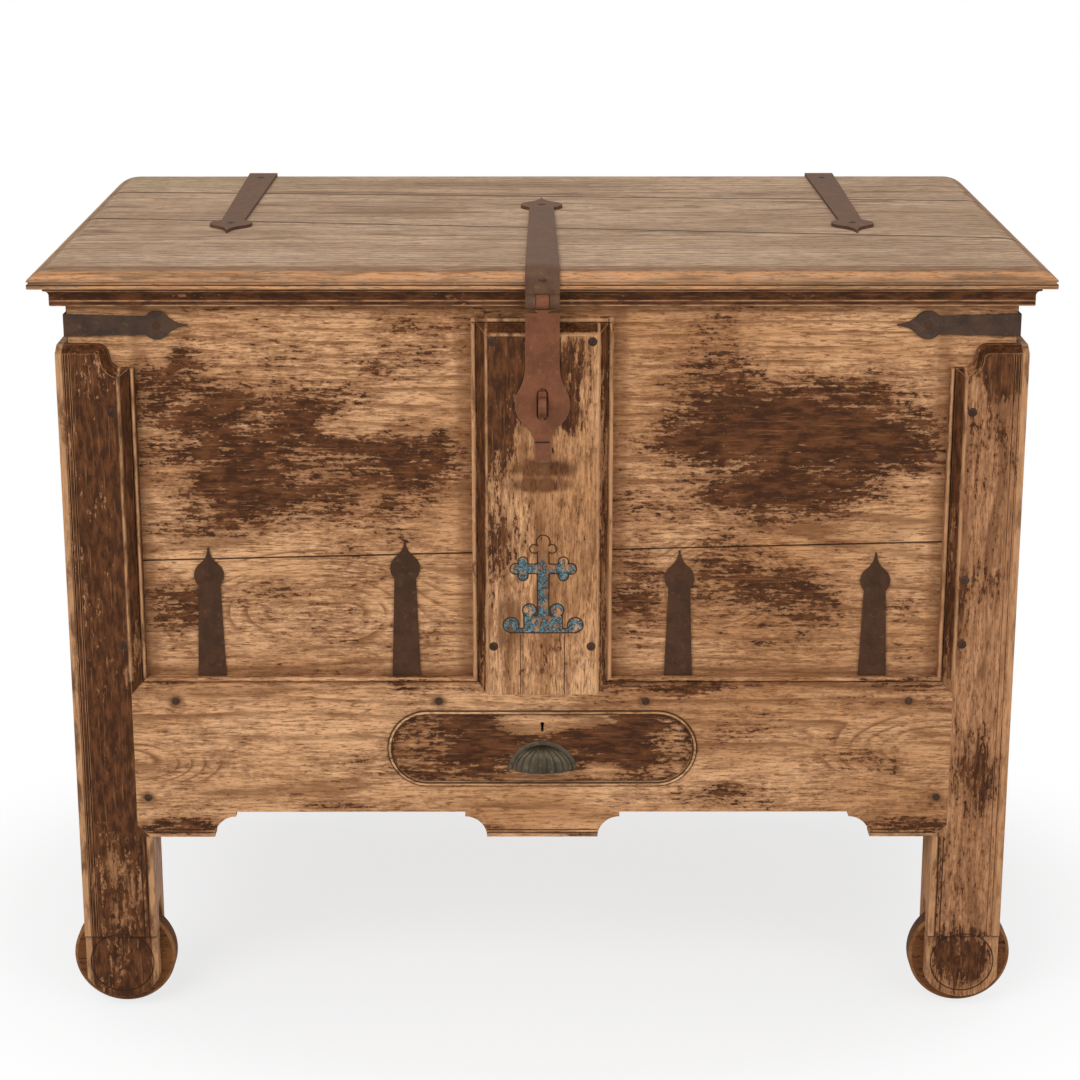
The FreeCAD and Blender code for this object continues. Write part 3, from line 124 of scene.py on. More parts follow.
class Finish:
    """A material written as named steps on the Object coordinates."""

    def __init__(self, name):
        self.material = bpy.data.materials.new(name)
        self.material.use_nodes = True
        self.tree = self.material.node_tree
        self.shader = self.tree.nodes["Principled BSDF"]
        self.place = self.step("ShaderNodeTexCoord").outputs["Object"]
        parts = self.step("ShaderNodeSeparateXYZ", {0: self.place})
        self.axis = {letter: parts.outputs[letter] for letter in "XYZ"}

    def step(self, kind, inputs=None, **settings):
        return new_node(self.tree, kind, inputs, **settings)

    def give(self, name, value):
        """Sets an input of the shader."""
        feed(self.tree, self.shader.inputs[name], value)

    def math(self, operation, first, second=0.0):
        return self.step("ShaderNodeMath", {0: first, 1: second}, operation=operation).outputs[0]

    def times(self, first, second):
        return self.math("MULTIPLY", first, second)

    def less(self, first, second):
        return self.math("SUBTRACT", first, second)

    def size(self, value):
        return self.math("ABSOLUTE", value)

    def chain(self, operation, values):
        result = values[0]
        for value in values[1:]:
            result = self.math(operation, result, value)
        return result

    def total(self, values):
        return self.chain("ADD", values)

    def highest(self, values):
        return self.chain("MAXIMUM", values)

    def vector(self, operation, first, second):
        return self.step("ShaderNodeVectorMath", {0: first, 1: second}, operation=operation).outputs[0]

    def length(self, vector):
        return self.step("ShaderNodeVectorMath", {0: vector}, operation="LENGTH").outputs["Value"]

    def front_length(self, across, rise):
        """The length of a step across and up, as seen from the front."""
        return self.length(self.step("ShaderNodeCombineXYZ", {0: across, 2: rise}).outputs[0])

    def scaled(self, scale, shift=(0, 0, 0)):
        inputs = {"Vector": self.place, "Scale": scale, "Location": shift}
        return self.step("ShaderNodeMapping", inputs).outputs[0]

    def noise(self, place, detail=3.0, rough=0.5, twist=0.0):
        inputs = {"Vector": place, "Scale": 1.0, "Detail": detail, "Roughness": rough, "Distortion": twist}
        return self.step("ShaderNodeTexNoise", inputs).outputs["Fac"]

    def window(self, value, low, high, bottom=0.0, top=1.0):
        """A smooth rise from a bottom to a top while the value goes from low to high."""
        inputs = {"Value": value, "From Min": low, "From Max": high, "To Min": bottom, "To Max": top}
        return self.step("ShaderNodeMapRange", inputs, interpolation_type="SMOOTHSTEP").outputs["Result"]

    def mix(self, share, first, second):
        """A share of the second colour over the first."""
        node = self.step("ShaderNodeMix", data_type="RGBA")
        for number, value in ((0, share), (6, first), (7, second)):
            if isinstance(value, tuple):
                value = (*value, 1.0)
            feed(self.tree, node.inputs[number], value)
        return node.outputs[2]

    def mark(self, name):
        """A value that the mesh carries on its faces."""
        return self.step("ShaderNodeAttribute", attribute_name=name).outputs["Fac"]

    def bump(self, height, strength, distance):
        inputs = {"Strength": strength, "Distance": distance, "Height": height}
        self.give("Normal", self.step("ShaderNodeBump", inputs).outputs[0])


def shade(colour, share):
    """A colour made darker."""
    return tuple(channel * share for channel in colour)


print("finish writer ready")

# %% [markdown]
# ## Masks
# Stains, worn bands and scribed lines sit at known places on the trunk. A few small masks say where: a
# spot that fades towards an ellipsoid, a slab between two planes, the same slab on both sides of the
# middle, and the part that two masks share. Each is kept as a recipe, because its nodes can only be
# written once the finish that uses it exists.

# %% Masks
SPOT_CORE = 0.25
PLANE_SOFT = 0.002


def spot(centre, reach):
    """1 at a centre, fading to 0 at an ellipsoid round it."""
    def write(finish):
        unit = finish.vector("DIVIDE", finish.vector("SUBTRACT", finish.place, centre), reach)
        return finish.window(finish.length(unit), 1.0, SPOT_CORE)
    return write


def slab_of(finish, value, low, high, soft):
    """1 where a value lies between two others, soft at both."""
    above = finish.window(value, low - soft, low + soft)
    return finish.times(above, finish.window(value, high + soft, high - soft))


def slab(axis, low, high, soft=PLANE_SOFT):
    """1 between two planes across an axis."""
    return lambda finish: slab_of(finish, finish.axis[axis], low, high, soft)


def either_side(axis, near, far, soft=PLANE_SOFT):
    """The same slab on the left and on the right of the middle."""
    return lambda finish: slab_of(finish, finish.size(finish.axis[axis]), near, far, soft)


def both(first, second):
    """The part that two masks share."""
    return lambda finish: finish.times(first(finish), second(finish))


print("masks: spot, slab, either side, both")

# %% [markdown]
# ## Floor and light
# The photograph has a plain white ground and soft light from all sides. A white floor under strong lamps
# would send too much light back on to the wood, so the world is white only where the camera, or a
# mirror-like surface, looks at it. The floor is paper near the trunk, where the shadow lies, and turns
# into plain white further out. Three large lamps give the light its direction.

# %% World
AMBIENT = 0.27
WHITE = (1, 1, 1, 1)
SEEN_BY = ("Is Camera Ray", "Is Glossy Ray", "Is Transmission Ray")


def seen_directly(tree):
    """1 for rays of the camera, of gloss and of glass."""
    path = new_node(tree, "ShaderNodeLightPath")
    value = path.outputs[SEEN_BY[0]]
    for kind in SEEN_BY[1:]:
        larger = new_node(tree, "ShaderNodeMath", {0: value, 1: path.outputs[kind]}, operation="MAXIMUM")
        value = larger.outputs[0]
    return value


world = bpy.data.worlds.new("white_studio")
world.use_nodes = True
bpy.context.scene.world = world
sky = world.node_tree
level = new_node(sky, "ShaderNodeMapRange", {"Value": seen_directly(sky), "To Min": AMBIENT})
feed(sky, sky.nodes["Background"].inputs["Strength"], level.outputs["Result"])
feed(sky, sky.nodes["Background"].inputs["Color"], WHITE)
print(f"world light {AMBIENT}")

# %% [markdown]
# The lamps are large squares, as soft boxes are. Each points at the middle of the trunk.

# %% Lamps
TRUNK_MIDDLE = Vector((0, 0, 0.5))
LAMPS = [
    ("key", (-1.9, -3.0, 3.1), 2.2, 80),
    ("fill", (2.3, -3.2, 2.0), 2.6, 46),
    ("top", (0.2, 0.6, 3.4), 2.6, 33),
]
for name, place, size, power in LAMPS:
    lamp = bpy.data.lights.new(f"{name}_lamp", "AREA")
    lamp.size = size
    lamp.energy = power
    holder = bpy.data.objects.new(f"{name}_lamp", lamp)
    holder.location = place
    aim = TRUNK_MIDDLE - Vector(place)
    holder.rotation_euler = aim.to_track_quat("-Z", "Y").to_euler()
    bpy.context.scene.collection.objects.link(holder)
print(f"{len(LAMPS)} lamps")

# %% [markdown]
# The paper's white edge is an oval round the trunk's feet, so it is there from every side.

# %% Floor
FLOOR_REACH = 12
PAPER_OVAL = (1.00, 0.82, 1.0)
PAPER_TONE = (0.96, 0.96, 0.96, 1)
PAPER_ROUGH = 0.9
PAPER_FADE = (0.55, 0.95, 0.74, 1.0)
floor_mesh = bpy.data.meshes.new("floor")
corners = [(x * FLOOR_REACH, y * FLOOR_REACH, 0) for x, y in ((-1, -1), (1, -1), (1, 1), (-1, 1))]
floor_mesh.from_pydata(corners, [], [(0, 1, 2, 3)])
floor = bpy.data.objects.new("floor", floor_mesh)
bpy.context.scene.collection.objects.link(floor)
floor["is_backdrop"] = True
paper = Finish("white_paper")
paper.give("Base Color", PAPER_TONE)
paper.give("Roughness", PAPER_ROUGH)
away = paper.length(paper.vector("DIVIDE", paper.place, PAPER_OVAL))
beyond = paper.times(paper.window(away, *PAPER_FADE), seen_directly(paper.tree))
white = paper.step("ShaderNodeEmission", {"Color": WHITE, "Strength": 1.0})
blend = paper.step("ShaderNodeMixShader", {0: beyond, 1: paper.shader.outputs[0], 2: white.outputs[0]})
feed(paper.tree, paper.tree.nodes["Material Output"].inputs["Surface"], blend.outputs[0])
floor_mesh.materials.append(paper.material)
print(f"floor {2 * FLOOR_REACH} m wide")

# %% [markdown]
# ## Bare wood
# The planks are a coarse, brown, flat-sawn wood. A picture of wood could be wrapped round them, but it
# would show the same knots everywhere. Instead the growth rings are real: they are the distance from a
# pith line beside the board, made wavy by noise, and the saw cuts through them. Fibres and pores are
# noises drawn out along the grain. A noise is given by its waves per metre along and across the grain,
# and a pattern is such a noise with the window that is put on it.

# %% Grain
SEED_STEPS = (1.0, 1.7, 2.3)
RING_SWAY = dict(lengthwise=1.6, crosswise=6.0, detail=2.0)
RING_WAVER = dict(lengthwise=9.0, crosswise=30.0)
SWAY_DEPTH = 0.045
WAVER_DEPTH = 0.006
LATE_START = 0.55
LATE_END = 0.92
RING_BREAKS = (dict(lengthwise=11.0, crosswise=60.0), (0.36, 0.60, 0.15, 1.0))
FIBRES = dict(lengthwise=26.0, crosswise=380.0, detail=5.0, rough=0.72)
PORES = (dict(lengthwise=62.0, crosswise=480.0, rough=0.6), (0.575, 0.635))


def grain_of(finish, along, pith, ring, seed, knots):
    """The grain's values: late wood of the rings, fibres, pores, and ways to draw noises along it."""
    axis = "XYZ".index(along)

    def drawn(lengthwise, crosswise, **settings):
        scale = [crosswise] * 3
        scale[axis] = lengthwise
        return finish.noise(finish.scaled(scale, [seed * step for step in SEED_STEPS]), **settings)

    def shown(pattern):
        noise, edge = pattern
        return finish.window(drawn(**noise), *edge)

    flat = [1.0, 1.0, 1.0]
    flat[axis] = 0.0
    terms = [finish.length(finish.scaled(flat, [-p * f for p, f in zip(pith, flat)]))]
    terms.append(finish.times(drawn(**RING_SWAY), SWAY_DEPTH))
    terms.append(finish.times(drawn(**RING_WAVER), WAVER_DEPTH))
    terms += [finish.times(mask(finish), lift) for mask, lift in knots]
    year = finish.math("FRACT", finish.math("DIVIDE", finish.total(terms), ring))
    late = finish.less(finish.window(year, LATE_START, LATE_END), finish.window(year, LATE_END, 1.0))
    late = finish.times(late, shown(RING_BREAKS))
    return SimpleNamespace(drawn=drawn, shown=shown, late=late, fibre=drawn(**FIBRES), pores=shown(PORES))


print("grain: rings, fibres, pores")

# %% [markdown]
# The bare wood's colour is mixed from a light, a middle and a dark tone: clouds of the first two, stains
# and painted shade where a mask says so, and the dark tone in the mottles, fibres, late wood and pores.

# %% Bare wood
BARE = ((0.80, 0.452, 0.232), (0.575, 0.288, 0.129), (0.170, 0.066, 0.023))
CLOUDS = (dict(lengthwise=3.0, crosswise=11.0, detail=5.0, rough=0.6), (0.36, 0.64))
RAGGED = (dict(lengthwise=30.0, crosswise=160.0, detail=4.0, rough=0.65), (0.33, 0.60, 0.45, 1.0))
MOTTLES = (dict(lengthwise=35.0, crosswise=75.0, detail=7.0, rough=0.7), (0.46, 0.70, 0.0, 0.55))
MOTTLE_SHADE = 0.55
DARK_FIBRES = (0.43, 0.68, 0.0, 0.62)
LATE_SHARE = 0.72
PORE_SHARE = 0.75


def bare_wood(finish, grain, tones, tints):
    light, middle, dark = tones
    tone = finish.mix(grain.shown(CLOUDS), middle, light)
    # The tints are real stains and rust, and the painted shade of the panels' edges and under the lid.
    for mask, colour, strength in tints:
        stain_and_shade = finish.times(mask(finish), grain.shown(RAGGED))
        tone = finish.mix(finish.times(stain_and_shade, strength), tone, colour)
    tone = finish.mix(grain.shown(MOTTLES), tone, shade(middle, MOTTLE_SHADE))
    tone = finish.mix(finish.window(grain.fibre, *DARK_FIBRES), tone, dark)
    tone = finish.mix(finish.times(grain.late, LATE_SHARE), tone, dark)
    return finish.mix(finish.times(grain.pores, PORE_SHARE), tone, dark)


print(f"bare wood of {len(BARE)} tones")

# %% [markdown]
# ## Varnish and wear
# Over the bare wood lie the remains of a dark varnish. A painter would stipple its edge; here one field
# adds large patches, streaks along the grain and small specks, and the varnish stays wherever the sum is
# above nought. So its edge breaks up into streaks and specks by itself. Just outside that edge the wood
# keeps a brown stain.

# %% Varnish
VARNISH_DARK = (0.050, 0.0180, 0.007)
VARNISH_THIN = (0.140, 0.050, 0.018)
VARNISH_RUBBED = (0.30, 0.128, 0.052)
STAIN = (0.215, 0.090, 0.038)
VARNISH_LAYERS = [
    (dict(lengthwise=7.0, crosswise=16.0, detail=7.0, rough=0.62, twist=0.6), 2.6),
    (dict(lengthwise=24.0, crosswise=190.0, detail=6.0, rough=0.70), 2.5),
    (dict(lengthwise=130.0, crosswise=300.0, detail=5.0, rough=0.72), 2.2),
]
VARNISH_EDGE = (-0.04, 0.07)
STAIN_EDGE = (-0.80, 0.02, 0.0, 0.72)
THIN_PLACES = (dict(lengthwise=45.0, crosswise=130.0, detail=6.0, rough=0.68), (0.38, 0.66))
RUBBED_PLACES = (dict(lengthwise=20.0, crosswise=380.0, detail=4.0, rough=0.6), (0.56, 0.70, 0.0, 0.55))


def varnish_field(finish, grain, cover, remains):
    """How much varnish is left: above nought it stays."""
    middle = sum(weight for _, weight in VARNISH_LAYERS) / 2
    terms = [finish.times(grain.drawn(**noise), weight) for noise, weight in VARNISH_LAYERS]
    terms += [finish.times(mask(finish), strength) for mask, strength in remains]
    return finish.math("ADD", finish.total(terms), cover - middle)


def varnished(finish, grain, tone, field):
    """Where the varnish is kept, and the colour with it."""
    kept = finish.window(field, *VARNISH_EDGE)
    coat = finish.mix(grain.shown(THIN_PLACES), VARNISH_DARK, VARNISH_THIN)
    coat = finish.mix(grain.shown(RUBBED_PLACES), coat, VARNISH_RUBBED)
    tone = finish.mix(finish.window(field, *STAIN_EDGE), tone, STAIN)
    return kept, finish.mix(kept, tone, coat)


print(f"varnish field of {len(VARNISH_LAYERS)} noises")

# %% [markdown]
# The arrises are rubbed down to light wood, and scribed lines and joints are cut as dark hairlines. The
# inner corners are darkened as well, as dirt and painted shade. One function puts all of this together for
# a plank: its grain's axis, the pith line, how much varnish covers it, and the masks of what is special
# about it.

# %% The wood finish
WORN_ARRIS = (0.56, 0.295, 0.142)
WORN_SHADE = 0.45
WORN_FIBRES = (0.45, 0.70, 0.0, 0.55)
ARRIS_RUB = (dict(lengthwise=26.0, crosswise=110.0, detail=5.0, rough=0.65), (0.36, 0.58, 0.20, 0.95))
# Dark of joints, scribed lines and dirt, also used as painted shade in the inner corners.
GRIME_AND_SHADE = (0.030, 0.013, 0.006)
GRIME_AND_SHADE_SHARE = 0.90
RELIEF = SimpleNamespace(fibre=0.8, pores=-0.6, late=0.3, varnish=0.45, cut=-1.6)
RELIEF_STRENGTH = 0.42
RELIEF_HEIGHT = 0.0008
BARE_ROUGH = 0.78
VARNISH_ROUGH = 0.52
WOOD_SPECULAR = 0.10
RING_WIDTH = 0.011


def wood(name, along, pith, cover, remains=(), tints=(), bands=(), dark_lines=(), knots=(), tones=BARE,
         ring=RING_WIDTH, seed=0.0, worn=WORN_ARRIS, ornament=None):
    """Bare wood with its grain along one axis, under what remains of a varnish."""
    finish = Finish(name)
    grain = grain_of(finish, along, pith, ring, seed, knots)
    field = varnish_field(finish, grain, cover, remains)
    kept, tone = varnished(finish, grain, bare_wood(finish, grain, tones, tints), field)
    rubbed = finish.highest([finish.mark("wear"), *[mask(finish) for mask in bands]])
    fibrous = finish.mix(finish.window(grain.fibre, *WORN_FIBRES), worn, shade(worn, WORN_SHADE))
    tone = finish.mix(finish.times(rubbed, grain.shown(ARRIS_RUB)), tone, fibrous)
    # Joints, scribed lines and dirt are dark; the inner corners are darkened as painted shade too.
    cuts_and_shade = finish.highest([finish.mark("grime_and_shade"), *[mask(finish) for mask in dark_lines]])
    tone = finish.mix(finish.times(cuts_and_shade, GRIME_AND_SHADE_SHARE), tone, GRIME_AND_SHADE)
    heights = [(grain.fibre, RELIEF.fibre), (grain.pores, RELIEF.pores), (grain.late, RELIEF.late),
               (kept, RELIEF.varnish), (cuts_and_shade, RELIEF.cut)]
    if ornament:
        tone, line = ornament(finish, tone)
        heights.append((line, RELIEF.cut))
    finish.give("Base Color", tone)
    finish.give("Roughness", finish.window(kept, 0.0, 1.0, BARE_ROUGH, VARNISH_ROUGH))
    finish.give("Specular IOR Level", WOOD_SPECULAR)
    relief = finish.total([finish.times(value, height) for value, height in heights])
    finish.bump(relief, RELIEF_STRENGTH, RELIEF_HEIGHT)
    return finish.material


print("wood finish ready")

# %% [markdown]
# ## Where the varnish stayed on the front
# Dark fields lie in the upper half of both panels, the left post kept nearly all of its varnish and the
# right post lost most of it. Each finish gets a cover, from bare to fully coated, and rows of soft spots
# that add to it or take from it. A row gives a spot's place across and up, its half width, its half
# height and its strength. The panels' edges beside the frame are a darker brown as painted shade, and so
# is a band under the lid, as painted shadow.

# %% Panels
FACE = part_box("front_left_post")[0][1]
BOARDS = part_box("front_upper_board")[0][1]
LID_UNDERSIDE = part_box("lid_front_board")[0][2]
POST_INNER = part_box("front_right_post")[0][0]
STILE_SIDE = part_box("centre_stile")[1][0]
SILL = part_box("front_apron")[1][2]
SPOT_DEPTH = 0.3
# Painted shade: the darker brown of the panels' edges beside the frame.
PANEL_EDGE_SHADE = (0.20, 0.085, 0.036)
PANEL_EDGE_SHADE_SHARE = 0.70
EDGE_SOFT = 0.006
SHADOW_BROWN = (0.27, 0.118, 0.05)
SHADOW_SHARE = 0.75
PANEL_REMAINS = [
    (-0.300, 0.700, 0.260, 0.150, 0.40), (-0.420, 0.765, 0.110, 0.070, 0.55),
    (-0.300, 0.735, 0.140, 0.070, 0.36), (-0.360, 0.640, 0.150, 0.085, 0.40),
    (-0.170, 0.665, 0.120, 0.090, 0.40), (-0.150, 0.825, 0.110, 0.060, 0.42),
    (-0.222, 0.727, 0.055, 0.028, -0.75), (-0.425, 0.513, 0.060, 0.065, 0.75),
    (0.290, 0.705, 0.230, 0.130, 0.58), (0.345, 0.720, 0.170, 0.095, 0.50),
    (0.200, 0.700, 0.120, 0.110, 0.36), (0.195, 0.808, 0.070, 0.045, 0.45),
    (0.240, 0.620, 0.200, 0.060, 0.24), (0.212, 0.537, 0.070, 0.080, 0.78),
    (0.295, 0.522, 0.085, 0.070, 0.58), (0.112, 0.525, 0.055, 0.090, 0.72),
    (0.430, 0.540, 0.050, 0.050, 0.24),
]
PANEL_KNOTS = [(0.212, 0.540, 0.090, 0.070, 0.075), (-0.27, 0.520, 0.17, 0.07, 0.050)]


def spots(depth, rows):
    """Masks with a strength, from rows of across, up, half width, half height and strength."""
    return [(spot((x, depth, z), (wide, SPOT_DEPTH, high)), strength)
            for x, z, wide, high, strength in rows]


# Painted shade along the stile, the posts and the apron, where the panel meets the frame.
shaded_panel_edges = [
    either_side("X", STILE_SIDE - 0.0015, STILE_SIDE + 0.0165, EDGE_SOFT),
    either_side("X", POST_INNER - 0.0145, POST_INNER + 0.0035, EDGE_SOFT),
    slab("Z", SILL - 0.004, SILL + 0.012, EDGE_SOFT),
]
lid_shadow = slab("Z", LID_UNDERSIDE - 0.032, LID_UNDERSIDE, EDGE_SOFT)
panel = wood("panel_wood", "X", (0, -0.14, 0.62), -0.52, spots(BOARDS, PANEL_REMAINS), seed=3.1,
             tints=[(lid_shadow, SHADOW_BROWN, SHADOW_SHARE),
                    *[(mask, PANEL_EDGE_SHADE, PANEL_EDGE_SHADE_SHARE) for mask in shaded_panel_edges]],
             knots=spots(BOARDS, PANEL_KNOTS))
print(panel.name, f"with {len(PANEL_REMAINS)} spots")

# %% [markdown]
# The posts carry a bead on their outer edge and a moulding on the inner one. Hands have rubbed the beads
# and the upper arris of the moulding bare, which shows as pale lines down the dark plank. The feet below
# the apron have a scribed bead on the inside too, a dark line above the wheel that is the joint and the
# painted shadow under the plank's end, and a scribed circle round the axle's end.

# %% Lines on the posts
POST_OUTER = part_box("front_right_post")[1][0]
POST_MIDDLE = (POST_OUTER + POST_INNER) / 2
APRON_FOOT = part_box("front_apron")[0][2]
AXLE_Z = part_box("front_left_wheel")[1][2] / 2
PLANK_FOOT = 0.096
CHEST_TOP = 1.0
LINE_SOFT = 0.001
ARRIS_SOFT = 0.0012
SCRIBE_WIDTH = 0.0016
SCRIBE_SOFT = 0.0005
FINE_SOFT = 0.0004
RING_LINE = (0.0372, 0.0388, FINE_SOFT)
above_apron = slab("Z", SILL, CHEST_TOP)
below_apron = slab("Z", PLANK_FOOT, APRON_FOOT)
foot_side = either_side("X", POST_INNER - 0.01, POST_INNER + 0.007, LINE_SOFT)
foot_bead = both(foot_side, slab("Z", 0, APRON_FOOT))
# The line above the wheel is drawn dark as the joint and as the painted shadow under the plank's end.
foot_joint_and_shadow = slab("Z", PLANK_FOOT - 0.0008, PLANK_FOOT + 0.0010, FINE_SOFT)
post_hollow = both(either_side("X", POST_INNER + 0.005, POST_INNER + 0.0150, LINE_SOFT), above_apron)
post_bands = [either_side("X", POST_OUTER - 0.0075, POST_OUTER + 0.01, LINE_SOFT), foot_bead]
for near, far in ((0.0155, 0.0185), (0.001, 0.004)):
    post_bands.append(both(either_side("X", POST_INNER + near, POST_INNER + far, ARRIS_SOFT), above_apron))


def foot_ring(finish):
    """A scribed circle round the axle's end on each foot."""
    across = finish.less(finish.size(finish.axis["X"]), POST_MIDDLE)
    rise = finish.less(finish.axis["Z"], AXLE_Z)
    return slab_of(finish, finish.front_length(across, rise), *RING_LINE)


post_dark_lines = [foot_ring, foot_joint_and_shadow]
for place in (POST_INNER + 0.008, POST_INNER + 0.0135):
    post_dark_lines.append(both(either_side("X", place, place + SCRIBE_WIDTH, SCRIBE_SOFT), below_apron))
print(f"{len(post_bands)} worn bands and {len(post_dark_lines)} scribed lines on a post")

# %% [markdown]
# The two front posts share those lines and differ in their varnish; the right one is a browner wood. The
# back posts are plain.

# %% Posts
LEFT_POST_REMAINS = [(-0.51, 0.16, 0.05, 0.10, -0.42), (-0.50, 0.06, 0.05, 0.05, -0.35),
                     (-0.50, 0.79, 0.05, 0.04, -0.22), (-0.53, 0.50, 0.05, 0.12, -0.12)]
RIGHT_POST_REMAINS = [
    (0.530, 0.808, 0.050, 0.055, 1.25), (0.476, 0.760, 0.012, 0.14, 0.8),
    (0.487, 0.500, 0.014, 0.08, 0.6), (0.515, 0.545, 0.040, 0.045, 0.45),
    (0.520, 0.300, 0.050, 0.060, 0.42), (0.510, 0.070, 0.060, 0.055, 0.62),
]
RIGHT_POST_TONES = ((0.60, 0.305, 0.150), (0.40, 0.188, 0.088), (0.120, 0.047, 0.019))
HOLLOW_STRENGTH = 0.75
back_feet = (spot((0, 0.35, 0.1), (2, 1, 0.2)), -0.3)
left_post = wood("left_post_wood", "Z", (-0.51, -0.20, 0), 0.50, spots(FACE, LEFT_POST_REMAINS),
                 bands=post_bands, dark_lines=post_dark_lines, seed=7.4)
right_post = wood("right_post_wood", "Z", (0.53, -0.22, 0), -0.40,
                  [(post_hollow, HOLLOW_STRENGTH), *spots(FACE, RIGHT_POST_REMAINS)],
                  bands=post_bands, dark_lines=post_dark_lines, seed=5.9, tones=RIGHT_POST_TONES)
back_post = wood("back_post_wood", "Z", (0.3, 0.25, 0), 0.10, [back_feet], seed=2.2)
print(left_post.name, right_post.name, back_post.name)

# %% [markdown]
# ## The stile and its cross
# An old budded cross on a lobed foot is cut into the stile with one fine line, and keeps some blue paint.
# It could be modelled as a groove, but the line is half a millimetre deep. So the cross is a distance: the
# nearest of a few discs and bars, mirrored about its middle. Below nought is inside, and the line is cut
# where the distance passes through nought. A disc is given by its place across and up and its radius, a
# bar by its half width and its ends.

# %% The cross
CROSS_X = 0.001
CROSS_DISCS = [
    (0, 0.5950, 0.0078), (0.0105, 0.5862, 0.0052), (0.0235, 0.5706, 0.0058), (0.0235, 0.5534, 0.0058),
    (0.0320, 0.5620, 0.0066), (0.0375, 0.4935, 0.0092), (0.0160, 0.5115, 0.0080),
]
CROSS_BARS = [(0.0066, 0.500, 0.590), (0.0280, 0.5562, 0.5678), (0.0225, 0.4845, 0.505),
              (0.0375, 0.4840, 0.4890)]
CROSS_FILLET = 0.0028


def cross_distance(finish):
    across = finish.size(finish.less(finish.axis["X"], CROSS_X))
    shapes = []
    for x, z, radius in CROSS_DISCS:
        away = finish.front_length(finish.less(across, x), finish.less(finish.axis["Z"], z))
        shapes.append(finish.less(away, radius))
    for half, low, high in CROSS_BARS:
        side = finish.less(across, half)
        rise = finish.size(finish.less(finish.axis["Z"], (low + high) / 2))
        shapes.append(finish.math("MAXIMUM", side, finish.less(rise, (high - low) / 2)))
    nearest = shapes[0]
    for shape in shapes[1:]:
        inputs = {0: nearest, 1: shape, 2: CROSS_FILLET}
        nearest = finish.step("ShaderNodeMath", inputs, operation="SMOOTH_MIN").outputs[0]
    return nearest


print(f"cross of {len(CROSS_DISCS)} discs and {len(CROSS_BARS)} bars")

# %% [markdown]
# The paint is two blues in fine veins. It has flaked off the top of the cross, and elsewhere in specks.

# %% The cross's paint and line
BLUE_PALE = (0.135, 0.30, 0.36)
BLUE_DARK = (0.026, 0.055, 0.062)
SCRIBED = (0.045, 0.020, 0.009)
FRONT_ONLY = (FACE + 0.004, FACE + 0.003)
PAINT_EDGE = (0.0003, -0.0003)
CROSS_LINE = (0.0011, 0.0005)
PAINT_FALL = (0.588, 0.566, -0.20, 0.06)
FLAKE_SCALE = (170, 170, 170)
FLAKE_EDGE = (0.49, 0.55)
VEIN_SCALE = (420, 420, 420)
VEIN_SHIFT = (2, 5, 1)
VEIN_EDGE = (0.485, 0.60)
PAINT_SHARE = 0.92


def painted_cross(finish, tone):
    """The colour with the cross on it, and where its line is cut."""
    distance = cross_distance(finish)
    front = finish.window(finish.axis["Y"], *FRONT_ONLY)
    inside = finish.times(finish.window(distance, *PAINT_EDGE), front)
    line = finish.times(finish.window(finish.size(distance), *CROSS_LINE), front)
    lower = finish.window(finish.axis["Z"], *PAINT_FALL)
    flakes = finish.noise(finish.scaled(FLAKE_SCALE), detail=5.0, rough=0.62)
    paint = finish.times(inside, finish.window(finish.math("ADD", flakes, lower), *FLAKE_EDGE))
    veins = finish.noise(finish.scaled(VEIN_SCALE, VEIN_SHIFT), rough=0.6, twist=1.2)
    blue = finish.mix(finish.window(veins, *VEIN_EDGE), BLUE_DARK, BLUE_PALE)
    tone = finish.mix(finish.times(paint, PAINT_SHARE), tone, blue)
    return finish.mix(finish.times(line, PAINT_SHARE), tone, SCRIBED), line


print("paint in two blues")

# %% [markdown]
# The stile kept its varnish at the upper left, where the hasp's arm shields it, and in the hollow of its
# moulding. Below the hasp's tip the swinging iron has burnished two rusty arcs into the wood. A strength
# above one gives a stain a firmer edge.

# %% Stile
STILE_FACE = STILE_SIDE - 0.017
STILE_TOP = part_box("centre_stile")[1][2]
STILE_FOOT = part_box("centre_stile")[0][2]
RUST = (0.080, 0.031, 0.013)
SOOT = (0.13, 0.06, 0.03)
SOOT_SHARE = 0.85
HAIR_SOFT = 0.0003
STILE_REMAINS = [
    (-0.045, 0.790, 0.050, 0.110, 1.15), (-0.050, 0.705, 0.030, 0.060, 0.75),
    (0.030, 0.805, 0.040, 0.050, 0.52), (0.035, 0.745, 0.020, 0.035, 0.60),
    (-0.070, 0.700, 0.016, 0.25, 0.35), (0.075, 0.800, 0.014, 0.12, 0.40),
    (-0.040, 0.600, 0.030, 0.060, 0.30),
]
STILE_RUST = [
    (-0.002, 0.6825, 0.052, 0.0150, 1.8), (-0.004, 0.6630, 0.048, 0.0125, 1.8),
    (0.026, 0.683, 0.020, 0.015, 1.0), (0.022, 0.640, 0.010, 0.006, 0.8),
]
stile_hollow = [(either_side("X", STILE_SIDE - 0.015, STILE_SIDE - 0.006, LINE_SOFT), 0.62),
                (slab("Z", STILE_TOP - 0.0145, STILE_TOP - 0.006, LINE_SOFT), 0.85)]
head_line = slab("Z", STILE_TOP - 0.0185, STILE_TOP - 0.0155, LINE_SOFT)
stile_bands = [
    either_side("X", STILE_FACE - 0.0015, STILE_FACE + 0.0012, LINE_SOFT),
    either_side("X", STILE_SIDE - 0.0045, STILE_SIDE - 0.0003, ARRIS_SOFT),
    both(head_line, either_side("X", -1, STILE_FACE, LINE_SOFT)),
    slab("Z", STILE_TOP - 0.005, STILE_TOP - 0.0005, LINE_SOFT),
]
